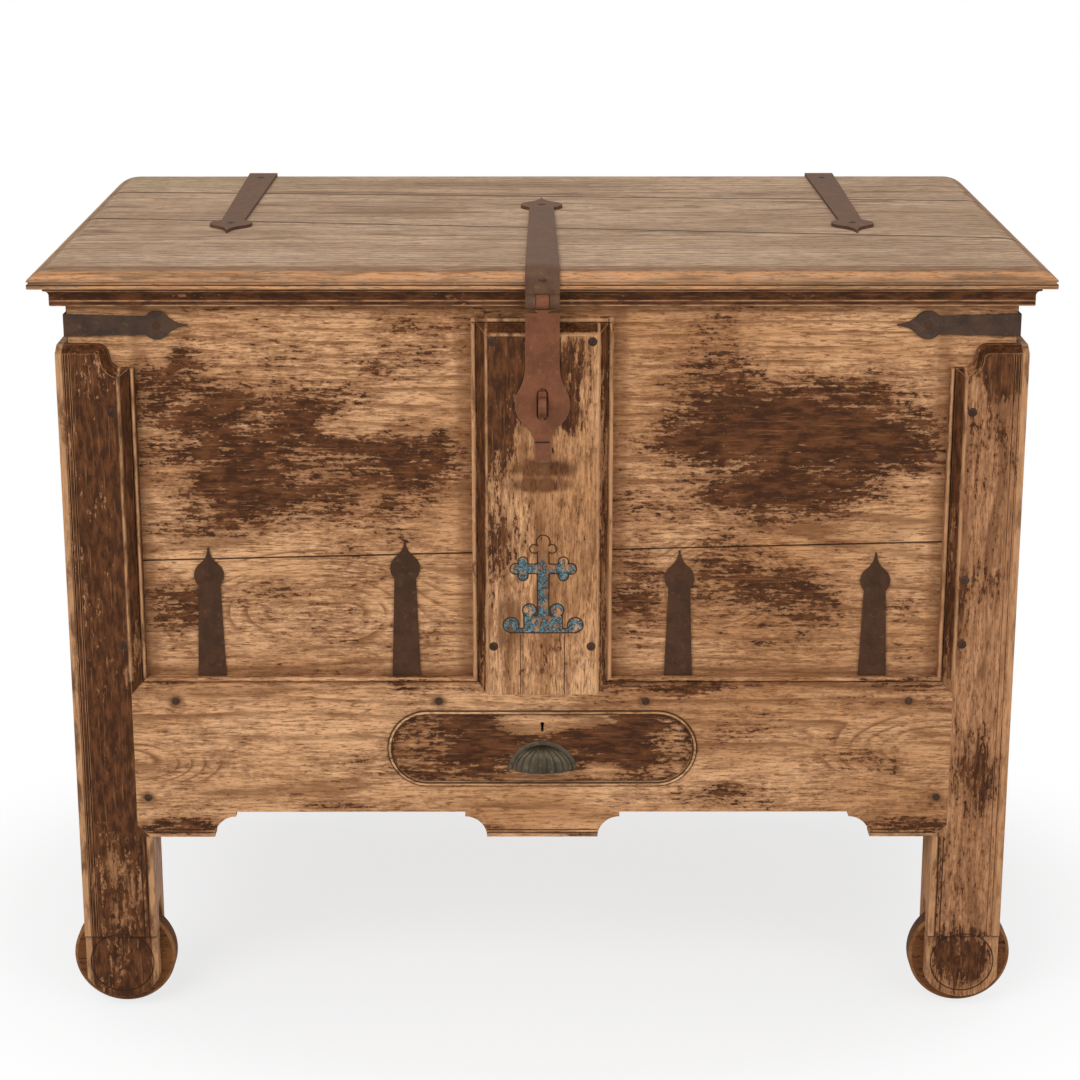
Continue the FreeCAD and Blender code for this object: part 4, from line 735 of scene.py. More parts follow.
stile_scribes = [both(slab("X", -0.0262, -0.0252, HAIR_SOFT), slab("Z", STILE_FOOT, 0.483)),
                 both(slab("X", 0.0255, 0.0265, HAIR_SOFT), slab("Z", STILE_FOOT, 0.480))]
sooty = both(slab("X", -0.052, -0.025), slab("Z", 0.466, 0.524, EDGE_SOFT))
stile_rust = [(mask, RUST, share) for mask, share in spots(FACE, STILE_RUST)]
stile = wood("stile_wood", "Z", (0.02, -0.20, 0), -0.50, spots(FACE, STILE_REMAINS) + stile_hollow,
             tints=[(sooty, SOOT, SOOT_SHARE), *stile_rust], bands=stile_bands, dark_lines=stile_scribes,
             seed=9.3, ornament=painted_cross)
print(stile.name)

# %% [markdown]
# The apron is nearly bare, with flame-shaped grain at both ends, rust round the nails and two scribed
# lines along the drops.

# %% Apron
NAILS = [(-0.432, 0.399), (-0.122, 0.399), (0.122, 0.399), (0.432, 0.399), (-0.4695, 0.2775),
         (0.4695, 0.2775)]
NAIL_RUST = (0.014, 0.012, 0.95)
APRON_REMAINS = [
    (-0.43, 0.240, 0.07, 0.020, 0.9), (0.44, 0.240, 0.08, 0.018, 0.55), (0.24, 0.280, 0.18, 0.030, 0.34),
    (-0.45, 0.385, 0.06, 0.030, 0.35), (0.36, 0.320, 0.10, 0.030, 0.35), (-0.20, 0.268, 0.10, 0.014, 0.35),
]
APRON_KNOTS = [(0.47, 0.335, 0.16, 0.055, 0.060), (-0.50, 0.320, 0.14, 0.05, 0.060)]
APRON_RING = 0.013
DROP_LINE = 0.0012
behind_face = (slab("Y", BOARDS - 0.018, BOARDS), 0.25)
drops = [either_side("X", -1, 0.066, SCRIBE_SOFT), either_side("X", 0.3915, 0.470, SCRIBE_SOFT)]
drop_lines = []
for foot in (APRON_FOOT + 0.0045, APRON_FOOT + 0.0085):
    drop_lines += [both(slab("Z", foot, foot + DROP_LINE, HAIR_SOFT), drop) for drop in drops]
nail_rust = [(mask, RUST, share) for mask, share in spots(FACE, [(*nail, *NAIL_RUST) for nail in NAILS])]
apron = wood("apron_wood", "X", (0.1, -0.18, 0.30), -0.57, spots(FACE, APRON_REMAINS) + [behind_face],
             tints=nail_rust, dark_lines=drop_lines, knots=spots(FACE, APRON_KNOTS), seed=1.3, ring=APRON_RING)
print(apron.name, f"with {len(NAILS)} rusty nails")

# %% [markdown]
# The drawer's front still has its varnish at both ends, and is rubbed bare above the pull.

# %% Drawer
DRAWER_REMAINS = [
    (-0.075, 0.350, 0.050, 0.045, 0.55), (-0.145, 0.335, 0.040, 0.040, -0.20),
    (0.095, 0.345, 0.060, 0.050, 0.45), (-0.012, 0.371, 0.066, 0.022, -1.3),
    (0.055, 0.375, 0.045, 0.016, -0.8), (0.070, 0.310, 0.030, 0.016, -0.6),
    (0.000, 0.303, 0.060, 0.010, -0.7),
]
drawer = wood("drawer_wood", "X", (0, -0.20, 0.36), 0.20, spots(FACE, DRAWER_REMAINS), seed=4.6)
print(drawer.name)

# %% [markdown]
# ## The lid, the cornice and the rest
# The lid's top never had varnish left: sun and wet have turned it grey-brown. Its rounded nose is rubbed
# to orange wood in front, with a brown strip behind it, and moss has tinted the back corner. The joints
# between its three boards slant, so each is a line between its places at both ends. A stain's row gives
# its place across and back, its half width, its half depth, a colour and a strength.

# %% Lid
LID_LOW, LID_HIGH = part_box("lid_front_board")
LID_SIDE = LID_HIGH[0]
LID_TOP = LID_HIGH[2]
LID_FRONT = LID_LOW[1]
NOSE_LINE = (0.8972, 0.8986, FINE_SOFT)
STAIN_DEPTH = 0.1
SEAM_HALF = 0.0040
SEAM_CORE = 0.4
GREY = ((0.605, 0.420, 0.280), (0.455, 0.300, 0.193), (0.155, 0.086, 0.045))
MOSS = (0.42, 0.345, 0.185)
WET = (0.23, 0.135, 0.075)
DAMP = (0.25, 0.155, 0.085)
DUSTY = (0.26, 0.16, 0.09)
FADED = (0.27, 0.17, 0.10)
NOSE = (0.66, 0.315, 0.138)
STRIP = (0.270, 0.145, 0.076)
LID_ARRIS = (0.40, 0.235, 0.13)
LID_RING = 0.008
LID_COVER = -1.15
LID_STAINS = [
    (-0.50, 0.36, 0.34, 0.17, MOSS, 0.55), (-0.19, 0.06, 0.13, 0.06, WET, 0.75),
    (-0.05, 0.28, 0.25, 0.05, DAMP, 0.60), (0.22, -0.09, 0.16, 0.03, WET, 0.55),
    (-0.38, -0.10, 0.20, 0.03, DUSTY, 0.50), (0.32, 0.20, 0.20, 0.05, FADED, 0.45),
]
LID_PITH = {"lid_front_board": ((0, -0.1, 0.72), 6.1), "lid_middle_board": ((0, 0.1, 0.75), 8.8),
            "lid_back_board": ((0, 0.2, 0.73), 0.7)}


def seam(nearer, farther):
    """1 along the slanting joint of two lid boards, which lies further back on the left."""
    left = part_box(nearer)[1][1]
    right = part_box(farther)[0][1]

    def write(finish):
        slope = (right - left) / (2 * LID_SIDE)
        straight = finish.math("ADD", finish.times(finish.axis["X"], slope), (left + right) / 2)
        away = finish.size(finish.less(finish.axis["Y"], straight))
        return finish.window(away, SEAM_HALF, SEAM_HALF * SEAM_CORE)
    return write


def front_edge(depth):
    """1 on the lid's front edge, down to a depth behind it."""
    return slab("Y", LID_FRONT - 0.045, LID_FRONT + depth)


lid_scribes = [seam("lid_front_board", "lid_middle_board"), seam("lid_middle_board", "lid_back_board"),
               both(front_edge(0.005), slab("Z", *NOSE_LINE))]
lid_tints = [(spot((x, y, LID_TOP), (wide, deep, STAIN_DEPTH)), colour, share)
             for x, y, wide, deep, colour, share in LID_STAINS]
lid_tints += [
    (slab("Y", LID_FRONT + 0.010, LID_FRONT + 0.0315), STRIP, 0.95),
    (either_side("X", LID_SIDE - 0.017, LID_SIDE - 0.008), STRIP, 0.8),
    (front_edge(0.0135), NOSE, 1.0),
    (either_side("X", LID_SIDE - 0.008, LID_SIDE + 0.02), NOSE, 0.7),
    (both(front_edge(0.010), spot((0.40, LID_FRONT, 0.90), (0.26, 0.03, 0.009))), STRIP, 0.9),
]
lid_boards = {}
for board, (pith, seed) in LID_PITH.items():
    lid_boards[board] = wood(f"{board}_wood", "X", pith, LID_COVER, tints=lid_tints, dark_lines=lid_scribes,
                             tones=GREY, ring=LID_RING, seed=seed, worn=LID_ARRIS)
print(f"{len(lid_boards)} lid boards")

# %% [markdown]
# The cornice is dark, with its arrises rubbed. The hidden woods are the same timber with less handling,
# and the wheels are an orange wood that has been greased and trodden.

# %% Cornice, sides, carcass and wheels
CORNICE_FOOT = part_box("front_cornice")[0][2]
CORNICE_RISES = (0.0, 0.0055, 0.0172)
CORNICE_SOFT = 0.0006
SIDE_SOFT = 0.1
WHEEL = ((0.30, 0.125, 0.038), (0.165, 0.060, 0.016), (0.065, 0.023, 0.007))
WHEEL_ARRIS = (0.33, 0.155, 0.058)
cornice_lines = [slab("Z", CORNICE_FOOT + rise, CORNICE_FOOT + rise + SCRIBE_WIDTH, CORNICE_SOFT)
                 for rise in CORNICE_RISES]
side_remains = [(slab("Z", 0.40, 0.55, SIDE_SOFT), -0.25), (slab("Z", 0.72, 0.90, SIDE_SOFT), 0.25)]
cornice = wood("cornice_wood", "X", (0, -0.3, 0.7), 0.55, bands=cornice_lines, seed=2.9)
side_cornice = wood("side_cornice_wood", "Y", (0, -0.3, 0.7), 0.50, bands=cornice_lines, seed=3.9)
sides = wood("side_wood", "Y", (0.35, 0, 0.62), -0.12, side_remains, seed=5.2)
carcass = wood("carcass_wood", "X", (0, 0.2, 0.62), -0.30, seed=7.7)
runners = wood("runner_wood", "Y", (0, 0, 0.2), -0.55, seed=8.1)
wheel = wood("wheel_wood", "X", (0, 0, 0.15), -0.12, tones=WHEEL, seed=4.4, worn=WHEEL_ARRIS)
print(f"{len(bpy.data.materials)} finishes so far")

# %% [markdown]
# ## Iron and bronze
# The irons were forged, and have rusted to a dull dark brown. The hasp is handled and redder; dust lies
# on the straps of the lid. All are one recipe with other colours: clouds of two browns, pits from a fine
# noise, and arrises where the iron is rubbed a little brighter.

# %% The metal finish
IRON_CLOUD = 38
IRON_FLAKE = 130
IRON_PIT = 420
CLOUD_EDGE = (0.36, 0.66)
BRIGHT_FLAKES = (0.55, 0.68, 0.0, 0.5)
DARK_PITS = (0.52, 0.75, 0.0, 0.6)
PIT_SHADE = 0.45
IRON_RUB = (0.3, 0.6, 0.2, 0.8)
# Dark of dirt in the irons' inner corners, also painted shade there.
IRON_GRIME_AND_SHADE = (0.012, 0.006, 0.003)
IRON_SPECULAR = 0.2
IRON_ROUGH = 0.62
IRON_METAL = 0.25
PIT_RELIEF = 0.5
FLAKE_RELIEF = 0.4
IRON_RELIEF = (0.5, 0.0009)


def iron(name, dark, light, bright, seed, rough=IRON_ROUGH, metal=IRON_METAL):
    """Rusty metal in two browns, brighter where it is rubbed."""
    finish = Finish(name)
    cloud = finish.noise(finish.scaled([IRON_CLOUD] * 3, (seed, seed, seed)), detail=8.0, rough=0.65)
    pits = finish.noise(finish.scaled([IRON_PIT] * 3, (seed, 0, 0)), detail=4.0, rough=0.7)
    flakes = finish.noise(finish.scaled([IRON_FLAKE] * 3, (0, seed, 0)), detail=6.0, rough=0.7)
    tone = finish.mix(finish.window(cloud, *CLOUD_EDGE), dark, light)
    tone = finish.mix(finish.window(flakes, *BRIGHT_FLAKES), tone, bright)
    tone = finish.mix(finish.window(pits, *DARK_PITS), tone, shade(dark, PIT_SHADE))
    tone = finish.mix(finish.times(finish.mark("wear"), finish.window(pits, *IRON_RUB)), tone, bright)
    # The inner corners are darkened, as dirt and painted shade.
    tone = finish.mix(finish.times(finish.mark("grime_and_shade"), GRIME_AND_SHADE_SHARE), tone, IRON_GRIME_AND_SHADE)
    finish.give("Base Color", tone)
    finish.give("Roughness", finish.window(cloud, 0.3, 0.7, rough - 0.1, rough + 0.12))
    finish.give("Metallic", metal)
    finish.give("Specular IOR Level", IRON_SPECULAR)
    relief = [cloud, finish.times(pits, PIT_RELIEF), finish.times(flakes, FLAKE_RELIEF)]
    finish.bump(finish.total(relief), *IRON_RELIEF)
    return finish.material


print("metal finish ready")

# %% [markdown]
# Each iron has a dark, a light and a bright colour, and a seed. The lid's straps are duller for their
# dust, and the bronze of the pull is smoother and more of a metal.

# %% Irons and the bronze
DUSTY_ROUGH = 0.75
DUSTY_METAL = 0.1
BRONZE_ROUGH = 0.44
BRONZE_METAL = 0.6
strap_iron = iron("strap_iron", (0.050, 0.021, 0.010), (0.084, 0.037, 0.018), (0.14, 0.068, 0.036), 1.5)
corner_iron = iron("corner_iron", (0.045, 0.027, 0.019), (0.092, 0.050, 0.031), (0.15, 0.088, 0.055), 6.5)
hasp_iron = iron("hasp_iron", (0.145, 0.052, 0.024), (0.235, 0.086, 0.040), (0.28, 0.125, 0.068), 2.5)
lid_iron = iron("lid_strap_iron", (0.088, 0.042, 0.023), (0.150, 0.078, 0.044), (0.21, 0.125, 0.075), 3.5,
                DUSTY_ROUGH, DUSTY_METAL)
fastener_iron = iron("fastener_iron", (0.040, 0.019, 0.011), (0.080, 0.038, 0.021), (0.13, 0.07, 0.04), 4.5)
axle_iron = iron("axle_iron", (0.04, 0.02, 0.01), (0.075, 0.034, 0.016), (0.1, 0.05, 0.03), 5.5)
bronze = iron("pull_bronze", (0.052, 0.041, 0.026), (0.105, 0.082, 0.053), (0.19, 0.155, 0.10), 7.5,
              BRONZE_ROUGH, BRONZE_METAL)
print(f"{len(bpy.data.materials)} finishes in all")

# %% [markdown]
# ## Worn copies of the solids
# A solid from the drawing board has edges as sharp as a knife, which no old plank has. Each solid is
# copied, its loose triangles are merged back into faces, and its edges are bevelled. The bevels of the
# outer edges are marked as wear. The bevels of the inner corners get a dark mark for the finishes to read,
# which is dirt and painted shade in the corners. Where two boards meet edge to edge, the bevels form the
# dark joint between them, so they get the same dark mark.

# %% Merging and bevelling
MERGE = 1e-5
FLAT = math.radians(0.5)
SHARP = math.radians(27)


def welded(node):
    """A solid's mesh with its loose triangles joined."""
    form = bmesh.new()
    form.from_mesh(nodes[node].data)
    bmesh.ops.remove_doubles(form, verts=form.verts, dist=MERGE)
    return form


def sharp_edges(form, convex, wanted):
    found = []
    for edge in form.edges:
        if len(edge.link_faces) == 2 and edge.is_convex == convex and edge.calc_face_angle(0) > SHARP:
            middle = (edge.verts[0].co + edge.verts[1].co) / 2
            if wanted(middle):
                found.append(edge)
    return found


def bevel_edges(form, edges, width, layer):
    if not edges:
        return
    made = bmesh.ops.bevel(form, geom=edges, offset=width, offset_type="OFFSET", segments=1, profile=0.5,
                           affect="EDGES", clamp_overlap=True)
    for face in made["faces"]:
        face[layer] = 1.0


print(f"edges over {math.degrees(SHARP):.0f} degrees are bevelled")

# %% [markdown]
# A finished piece stands in the place of its solid and rides on the same body. Its shading is smooth
# round the bevels and flat on the flats, which is written into the mesh.

# %% Finished pieces
SMOOTH = math.radians(40)


def new_piece(name, form, finish):
    mesh = bpy.data.meshes.new(name)
    form.to_mesh(mesh)
    form.free()
    mesh.materials.append(finish)
    piece = bpy.data.objects.new(name, mesh)
    bpy.context.scene.collection.objects.link(piece)
    return piece


def plain_mesh(piece):
    """The piece's mesh with its modifiers applied, which are then removed."""
    graph = bpy.context.evaluated_depsgraph_get()
    mesh = bpy.data.meshes.new_from_object(piece.evaluated_get(graph), depsgraph=graph)
    piece.modifiers.clear()
    return mesh


def smooth(mesh, angle):
    """Smooth shading, with edges above an angle left sharp."""
    for face in mesh.polygons:
        face.use_smooth = True
    mesh.set_sharp_from_angle(angle=angle)


def settle(piece):
    """Smooth shading that leaves flat faces flat, written into the mesh itself."""
    smooth(piece.data, SMOOTH)
    weigh = piece.modifiers.new("weigh", "WEIGHTED_NORMAL")
    weigh.keep_sharp = True
    piece.data = plain_mesh(piece)


def body_of(node):
    for body, members in frame["record"]["behaviour"]["bodies"].items():
        if node in members:
            return body


def stand_for(piece, node, slot):
    """Puts a finished piece in the place of a solid, on the same body."""
    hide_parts(node)
    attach(piece, body_of(node))


print(f"shading is smooth up to {math.degrees(SMOOTH):.0f} degrees")

# %% [markdown]
# A worn copy is made in that order. Its joints are told by a function of an edge's place, and it may be
# swelled a little, across and up, about its own middle.

# %% A worn copy
CORNER = 0.0010


def nowhere(place):
    return False


def everywhere(place):
    return True


def swell_form(form, node, swell):
    low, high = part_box(node)
    for vertex in form.verts:
        for axis in (0, 2):
            middle = (low[axis] + high[axis]) / 2
            vertex.co[axis] += (vertex.co[axis] - middle) * 2 * swell / (high[axis] - low[axis])


def worn_copy(node, finish, slot, arris, corner=CORNER, joint=nowhere, swell=0.0):
    form = welded(node)
    bmesh.ops.dissolve_limit(form, angle_limit=FLAT, verts=form.verts, edges=form.edges)
    if swell:
        swell_form(form, node, swell)
    wear = form.faces.layers.float.new("wear")
    grime_and_shade = form.faces.layers.float.new("grime_and_shade")
    bevel_edges(form, sharp_edges(form, True, lambda place: not joint(place)), arris, wear)
    # The dark mark: joints, and the inner corners as dirt and painted shade.
    bevel_edges(form, sharp_edges(form, True, joint), corner, grime_and_shade)
    bevel_edges(form, sharp_edges(form, False, everywhere), corner, grime_and_shade)
    piece = new_piece(f"worn_{node}", form, finish)
    settle(piece)
    stand_for(piece, node, slot)


print(f"corners are cut {CORNER * 1000:.1f} mm wide")

# %% [markdown]
# One table says which slot, finish and width of worn arris each solid gets. All edges of the wall boards
# are joints, and so are the edges inside the lid's outline. The surround's edges are the dark lines round
# the drawer. The drawer's front is drawn a little fuller than its solid, as damp wood swells, so no
# daylight shows round it.

# %% Worn copies
LID_INNER_FRONT = -0.32
LID_INNER_BACK = 0.352
LID_INNER_SIDE = 0.55
SWELL = 0.0009
SURROUND_LINE = 0.0015
FRONT_WALL = ["front_lower_board", "front_upper_board"]
SIDE_WALLS = ["left_lower_board", "left_upper_board", "right_lower_board", "right_upper_board"]
BACK_WALL = ["back_lower_board", "back_upper_board"]
WHEELS = ["front_left_wheel", "front_right_wheel", "back_left_wheel", "back_right_wheel"]
WORN = [
    ("panel_wood", panel, 0.0008, FRONT_WALL),
    ("panel_wood", sides, 0.0008, SIDE_WALLS),
    ("panel_wood", carcass, 0.0008, BACK_WALL),
    ("frame_wood", left_post, 0.0014, ["front_left_post"]),
    ("frame_wood", right_post, 0.0014, ["front_right_post"]),
    ("frame_wood", back_post, 0.0030, ["back_left_post", "back_right_post"]),
    ("frame_wood", stile, 0.0014, ["centre_stile"]),
    ("frame_wood", apron, 0.0014, ["front_apron"]),
    ("frame_wood", apron, 0.0008, ["drawer_surround"]),
    ("drawer_wood", drawer, 0.0009, ["drawer_front"]),
    ("cornice_wood", cornice, 0.0016, ["front_cornice"]),
    ("cornice_wood", side_cornice, 0.0016, ["left_cornice", "right_cornice"]),
    ("carcass_wood", sides, 0.0030, ["left_side_rail", "right_side_rail"]),
    ("carcass_wood", carcass, 0.0030, ["back_rail"]),
    ("wheel_wood", wheel, 0.0035, WHEELS),
    ("strap_iron", strap_iron, 0.0008, ["floor_straps", "left_hinge_leaf", "right_hinge_leaf"]),
    ("strap_iron", corner_iron, 0.0008, ["front_corner_irons", "back_corner_irons"]),
    ("strap_iron", lid_iron, 0.0010, ["left_hinge_strap", "right_hinge_strap", "hasp_strap"]),
    ("hasp_iron", hasp_iron, 0.0010, ["hasp", "staple"]),
    *[("lid_wood", finish, 0.0016, [board]) for board, finish in lid_boards.items()],
]


def inside_lid(place):
    return abs(place.x) < LID_INNER_SIDE and LID_INNER_FRONT < place.y < LID_INNER_BACK


special = {node: dict(joint=everywhere) for node in FRONT_WALL + SIDE_WALLS + BACK_WALL}
special.update({board: dict(joint=inside_lid) for board in lid_boards})
special["drawer_surround"] = dict(joint=everywhere, corner=SURROUND_LINE)
special["drawer_front"] = dict(swell=SWELL)
for slot, finish, arris, members in WORN:
    for node in members:
        worn_copy(node, finish, slot, arris, **special.get(node, {}))
print(f"{sum(len(row[3]) for row in WORN)} worn copies")

# %% [markdown]
# ## Screws and nails
# The frame is held by slotted screws, the apron by hammered nails, and the irons by flat rivets. They
# repeat, so one Geometry Nodes tree makes them all: a flattened ball for the head, a bar cut out of it
# for the slot, and one copy on each point, turned at random about the axis that it was driven along.

# %% A tree for heads
HEAD_RINGS = 7
BLADE_LENGTH = 3.0
HEAD_INPUTS = [("Places", "Geometry"), ("Radius", "Float"), ("Height", "Float"), ("Slot", "Float"),
               ("Sides", "Int"), ("Seed", "Int"), ("Finish", "Material")]
heads = bpy.data.node_groups.new("driven_heads", "GeometryNodeTree")
for name, kind in HEAD_INPUTS:
    heads.interface.new_socket(name, in_out="INPUT", socket_type=f"NodeSocket{kind}")
heads.interface.new_socket("Heads", in_out="OUTPUT", socket_type="NodeSocketGeometry")
given = heads.nodes.new("NodeGroupInput").outputs


def part(kind, inputs, output=0, **settings):
    """A node of the tree, as one of its outputs."""
    return new_node(heads, kind, inputs, **settings).outputs[output]


def one_head():
    """A dome, with a slot where the tree is given one."""
    ball_inputs = {"Segments": given["Sides"], "Rings": HEAD_RINGS, "Radius": given["Radius"]}
    ball = part("GeometryNodeMeshUVSphere", ball_inputs)
    flat = part("ShaderNodeMath", {0: given["Height"], 1: given["Radius"]}, operation="DIVIDE")
    scale = part("ShaderNodeCombineXYZ", {0: 1.0, 1: 1.0, 2: flat})
    dome = part("GeometryNodeTransform", {"Geometry": ball, "Scale": scale})
    long = part("ShaderNodeMath", {0: given["Radius"], 1: BLADE_LENGTH}, operation="MULTIPLY")
    size = part("ShaderNodeCombineXYZ", {0: long, 1: given["Slot"], 2: given["Height"]})
    blade = part("GeometryNodeMeshCube", {"Size": size})
    lift = part("ShaderNodeCombineXYZ", {2: given["Height"]})
    raised = part("GeometryNodeTransform", {"Geometry": blade, "Translation": lift})
    slotted = part("GeometryNodeMeshBoolean", {0: dome, 1: raised}, operation="DIFFERENCE", solver="EXACT")
    has_slot = part("FunctionNodeCompare", {0: given["Slot"], 1: 0.0}, data_type="FLOAT",
                    operation="GREATER_THAN")
    return part("GeometryNodeSwitch", {0: has_slot, 1: dome, 2: slotted}, input_type="GEOMETRY")


print(f"tree {heads.name} with {len(HEAD_INPUTS)} inputs")

# %% [markdown]
# Each head is turned to face the way that its point says, and then about that way by a random angle. The
# seed is one of the tree's inputs, so the angles are the same on every run.

# %% One head on each point
def head_turn():
    facing = part("GeometryNodeInputNamedAttribute", {"Name": "facing"}, data_type="FLOAT_VECTOR")
    upright = part("FunctionNodeAlignRotationToVector", {"Vector": facing}, axis="Z")
    full_turn = {2: 0.0, 3: math.tau, "Seed": given["Seed"]}
    angle = part("FunctionNodeRandomValue", full_turn, output=1, data_type="FLOAT")
    spin = part("FunctionNodeEulerToRotation", {0: part("ShaderNodeCombineXYZ", {2: angle})})
    return part("FunctionNodeRotateRotation", {0: upright, 1: spin}, rotation_space="LOCAL")


on_points = {"Points": given["Places"], "Instance": one_head(), "Rotation": head_turn()}
real = part("GeometryNodeRealizeInstances", {0: part("GeometryNodeInstanceOnPoints", on_points)})
finished = part("GeometryNodeSetMaterial", {"Geometry": real, "Material": given["Finish"]})
new_node(heads, "NodeGroupOutput", {0: finished})
print(f"{len(heads.nodes)} nodes in the tree")

# %% [markdown]
# The places come from the solids: each loose island of a fastener solid is one head, and its outer end is
# where the top of the dome goes. The lid's heads face up, the others forwards or backwards.

# %% Places of the heads
def islands(form):
    """The groups of vertices that hang together."""
    left = set(form.verts)
    while left:
        island = [left.pop()]
        for vertex in island:
            for edge in vertex.link_edges:
                other = edge.other_vert(vertex)
                if other in left:
                    left.remove(other)
                    island.append(other)
        yield island


def head_places(node, axis, height):
    """Where the middle of each head's ball goes, and which way it faces."""
    form = welded(node)
    places = []
    for island in islands(form):
        low = Vector([min(v.co[k] for v in island) for k in range(3)])
        high = Vector([max(v.co[k] for v in island) for k in range(3)])
        place = (low + high) / 2
        facing = Vector((0, 0, 1)) if axis == 2 else Vector((0, math.copysign(1, place.y), 0))
        place[axis] = high[axis] if facing[axis] > 0 else low[axis]
        places.append((place - facing * height, facing))
    form.free()
    return sorted(places, key=lambda place: tuple(place[0]))


print("heads are placed by the islands of their solids")

# %% [markdown]
# The frame's screws and the lid's are slotted. The nails have seven hammered facets, so they alone are
# left flat.

# %% Heads on their places
HEAD_SHARP = math.radians(35)
ROUND_SIDES = 12
HEADS = [
    ("slotted_frame_screws", "frame_screws", 1, fastener_iron,
     dict(Radius=0.0056, Height=0.0016, Slot=0.0012, Sides=28, Seed=4)),
    ("hammered_apron_nails", "apron_nails", 1, fastener_iron,
     dict(Radius=0.0058, Height=0.0022, Slot=0.0, Sides=7, Seed=9)),
    ("flat_iron_rivets", "iron_screws", 1, strap_iron,
     dict(Radius=0.0046, Height=0.0009, Slot=0.0, Sides=20, Seed=2)),
    ("slotted_lid_screws", "lid_screws", 2, fastener_iron,
     dict(Radius=0.0050, Height=0.0011, Slot=0.0011, Sides=24, Seed=6)),
]


def drive_heads(name, node, axis, finish, sizes):
    places = head_places(node, axis, sizes["Height"])
    mesh = bpy.data.meshes.new(name)
    mesh.from_pydata([place for place, _ in places], [], [])
    facing = mesh.attributes.new("facing", "FLOAT_VECTOR", "POINT")
    for row, (_, way) in zip(facing.data, places):
        row.vector = way
    piece = bpy.data.objects.new(name, mesh)
    bpy.context.scene.collection.objects.link(piece)
    modifier = piece.modifiers.new("heads", "NODES")
    modifier.node_group = heads
    values = dict(sizes, Finish=finish)
    for item in heads.interface.items_tree:
        if item.in_out == "INPUT" and item.name in values:
            modifier[item.identifier] = values[item.name]
    piece.data = plain_mesh(piece)
    for face in piece.data.polygons:
        face.use_smooth = sizes["Sides"] > ROUND_SIDES
    piece.data.set_sharp_from_angle(angle=HEAD_SHARP)
    stand_for(piece, node, "fastener_iron")
    return piece


for row in HEADS:
    piece = drive_heads(*row)
    print(f"{piece.name}: {len(piece.data.polygons)} faces")

# %% [markdown]
# ## The cup pull
# The pull is cast bronze: a flat arched plate with a scallop shell on it. A ball squashed flat would give
# the cup but not the flutes. So the shell is drawn as rows of points from its brow down to its lip. Each
# row is half an oval, drawn in between the lobes, which run together at the brow as on a real shell.

# %% Rows of the shell
LOBES = 9
ROWS = 14
STEPS = 108
BROW_ANGLE = 6
LIP_ANGLE = 90
FLANGE = 0.0050
SIDE_ROOM = 0.0006
TOP_ROOM = 0.001
FRONT_ROOM = 0.0004
BELLY = 0.75
CREST = 0.7
FLUTE = 0.10
LIP_SAG = 0.0012
SAG_FROM = 1.5
low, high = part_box("cup_pull")
half_width = (high[0] - low[0]) / 2
pull_height = high[2] - low[2]
pull_depth = high[1] - low[1] - FRONT_ROOM
lip = low[2]
drawer_face = high[1]


def shell_row(turn):
    """One row of the shell, from the left over the front to the right."""
    wide = (half_width - FLANGE - SIDE_ROOM) * math.sin(turn)
    deep = pull_depth * math.sin(turn) ** BELLY
    rise = (pull_height - FLANGE - TOP_ROOM) * math.cos(turn)
    row = []
    for step in range(STEPS + 1):
        way = math.pi * step / STEPS
        crest = abs(math.sin(LOBES * way)) ** CREST
        draw_in = 1 - FLUTE * (1 - crest) * math.sin(turn)
        sag = LIP_SAG * crest * math.sin(way) * (turn > SAG_FROM)
        row.append(Vector((-wide * math.cos(way) * draw_in, drawer_face - deep * math.sin(way) * draw_in,
                           lip + max(rise - sag, 0))))
    return row


ROW_ANGLE = (LIP_ANGLE - BROW_ANGLE) / (ROWS - 1)
rows = [shell_row(math.radians(BROW_ANGLE + ROW_ANGLE * row)) for row in range(ROWS)]
print(f"{ROWS} rows of {STEPS + 1} points")

# %% [markdown]
# Faces between the rows make a skin, and the Solidify modifier gives it the wall of a casting.

# %% Shell
PULL_WALL = 0.0016
form = bmesh.new()
grid = [[form.verts.new(point) for point in row] for row in rows]
for upper, lower in zip(grid[:-1], grid[1:]):
    for a, b, c, d in zip(upper[:-1], upper[1:], lower[1:], lower[:-1]):
        form.faces.new((a, d, c, b))
form.faces.new(grid[0])
bmesh.ops.recalc_face_normals(form, faces=form.faces)
shell = new_piece("scallop_cup_pull", form, bronze)
thicken = shell.modifiers.new("wall", "SOLIDIFY")
thicken.thickness = PULL_WALL
thicken.offset = -1
walls = plain_mesh(shell)
print(f"shell of {len(walls.polygons)} faces")

# %% [markdown]
# The plate behind the shell is an arched band with a rounded outer edge and a small rivet at each end. It
# is added to the shell's mesh, because both were cast in one piece.

# %% Arched plate
PLATE = 0.0020
BAND_SECTION = ((FLANGE, 0.0), (FLANGE, PLATE), (0.0012, PLATE), (0.0, PLATE - 0.0009), (0.0, 0.0))
BAND_STEPS = 64
RIVET = 0.0017
RIVET_FLAT = 0.6
RIVET_INSET = 0.004
RIVET_RISE = 0.0075
PULL_SHARP = math.radians(50)
rim = (half_width ** 2 + pull_height ** 2) / (2 * pull_height)
arc_middle = lip + pull_height - rim
spring = math.asin((lip - arc_middle) / rim)
form = bmesh.new()
form.from_mesh(walls)


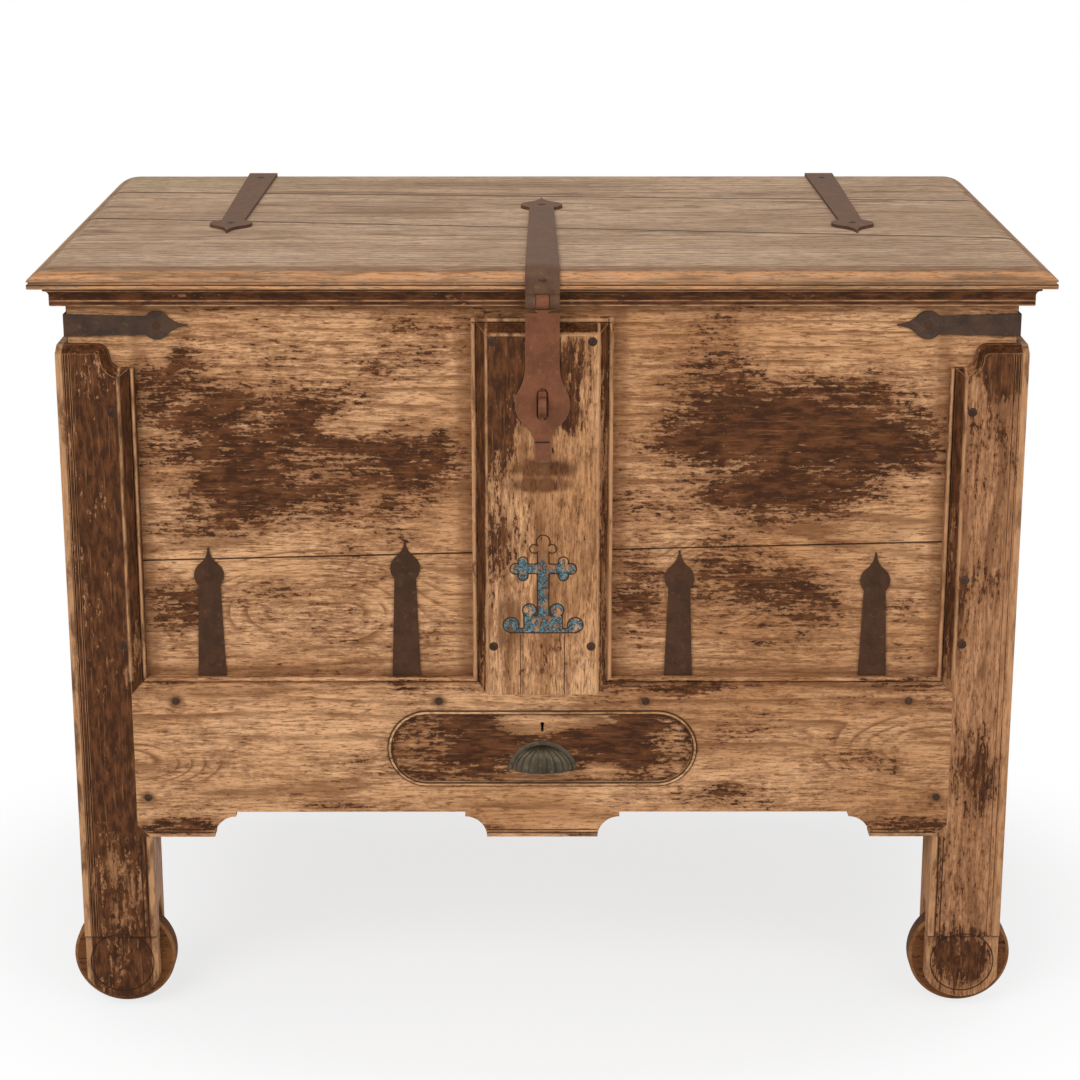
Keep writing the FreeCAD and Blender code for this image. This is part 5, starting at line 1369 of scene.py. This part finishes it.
def band_section(way):
    """Five points across the band: inner foot, inner top, two of the rounded outer edge, outer foot."""
    points = []
    for inset, out in BAND_SECTION:
        reach = rim - inset
        height = max(arc_middle + reach * math.sin(way), lip)
        points.append(form.verts.new(Vector((-reach * math.cos(way), drawer_face - out, height))))
    return points


ways = [spring + (math.pi - 2 * spring) * step / BAND_STEPS for step in range(BAND_STEPS + 1)]
sections = [band_section(way) for way in ways]
for first, second in zip(sections[:-1], sections[1:]):
    for place in range(len(first)):
        form.faces.new((first[place - 1], first[place], second[place], second[place - 1]))
form.faces.new(sections[0])
form.faces.new(sections[-1][::-1])
for hand in (-1, 1):
    made = bmesh.ops.create_uvsphere(form, u_segments=14, v_segments=8, radius=RIVET)
    middle = Vector((hand * (half_width - RIVET_INSET), drawer_face - PLATE, lip + RIVET_RISE))
    for vertex in made["verts"]:
        vertex.co = Vector((vertex.co.x, vertex.co.y * RIVET_FLAT, vertex.co.z)) + middle
bmesh.ops.recalc_face_normals(form, faces=form.faces)
form.to_mesh(shell.data)
form.free()
smooth(shell.data, PULL_SHARP)
stand_for(shell, "cup_pull", "pull_bronze")
print(f"cup pull of {len(shell.data.polygons)} faces")

# %% [markdown]
# ## Solids that keep their shape
# What lies inside, and the small turned pins, are already right as they were drawn. They only need their
# finishes.

# %% Finishes of the solids that stay
KEPT = [
    (runners, ["left_drawer_runner", "right_drawer_runner", "drawer_kicker", "drawer_sides",
               "drawer_bottom", "lid_battens"]),
    (carcass, ["floor_front_board", "floor_middle_board", "floor_back_board", "drawer_back"]),
    (left_post, ["wheel_axles"]),
    (axle_iron, ["lock_case", "lock_bolt", "hinge_pins"]),
    (hasp_iron, ["hasp_pin"]),
]
for finish, members in KEPT:
    for node in members:
        mesh = nodes[node].data
        mesh.materials.clear()
        mesh.materials.append(finish)
print(f"{sum(len(members) for _, members in KEPT)} solids keep their shape")

# %% [markdown]
# ## The box of the finished model
# The drawing's box and the finished model's box are printed side by side.

# %% Sizes and the end
boxes = {"cad": solid_box, "visual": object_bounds()}
plain = {name: [list(corner) for corner in box] for name, box in boxes.items()}
print(plain)
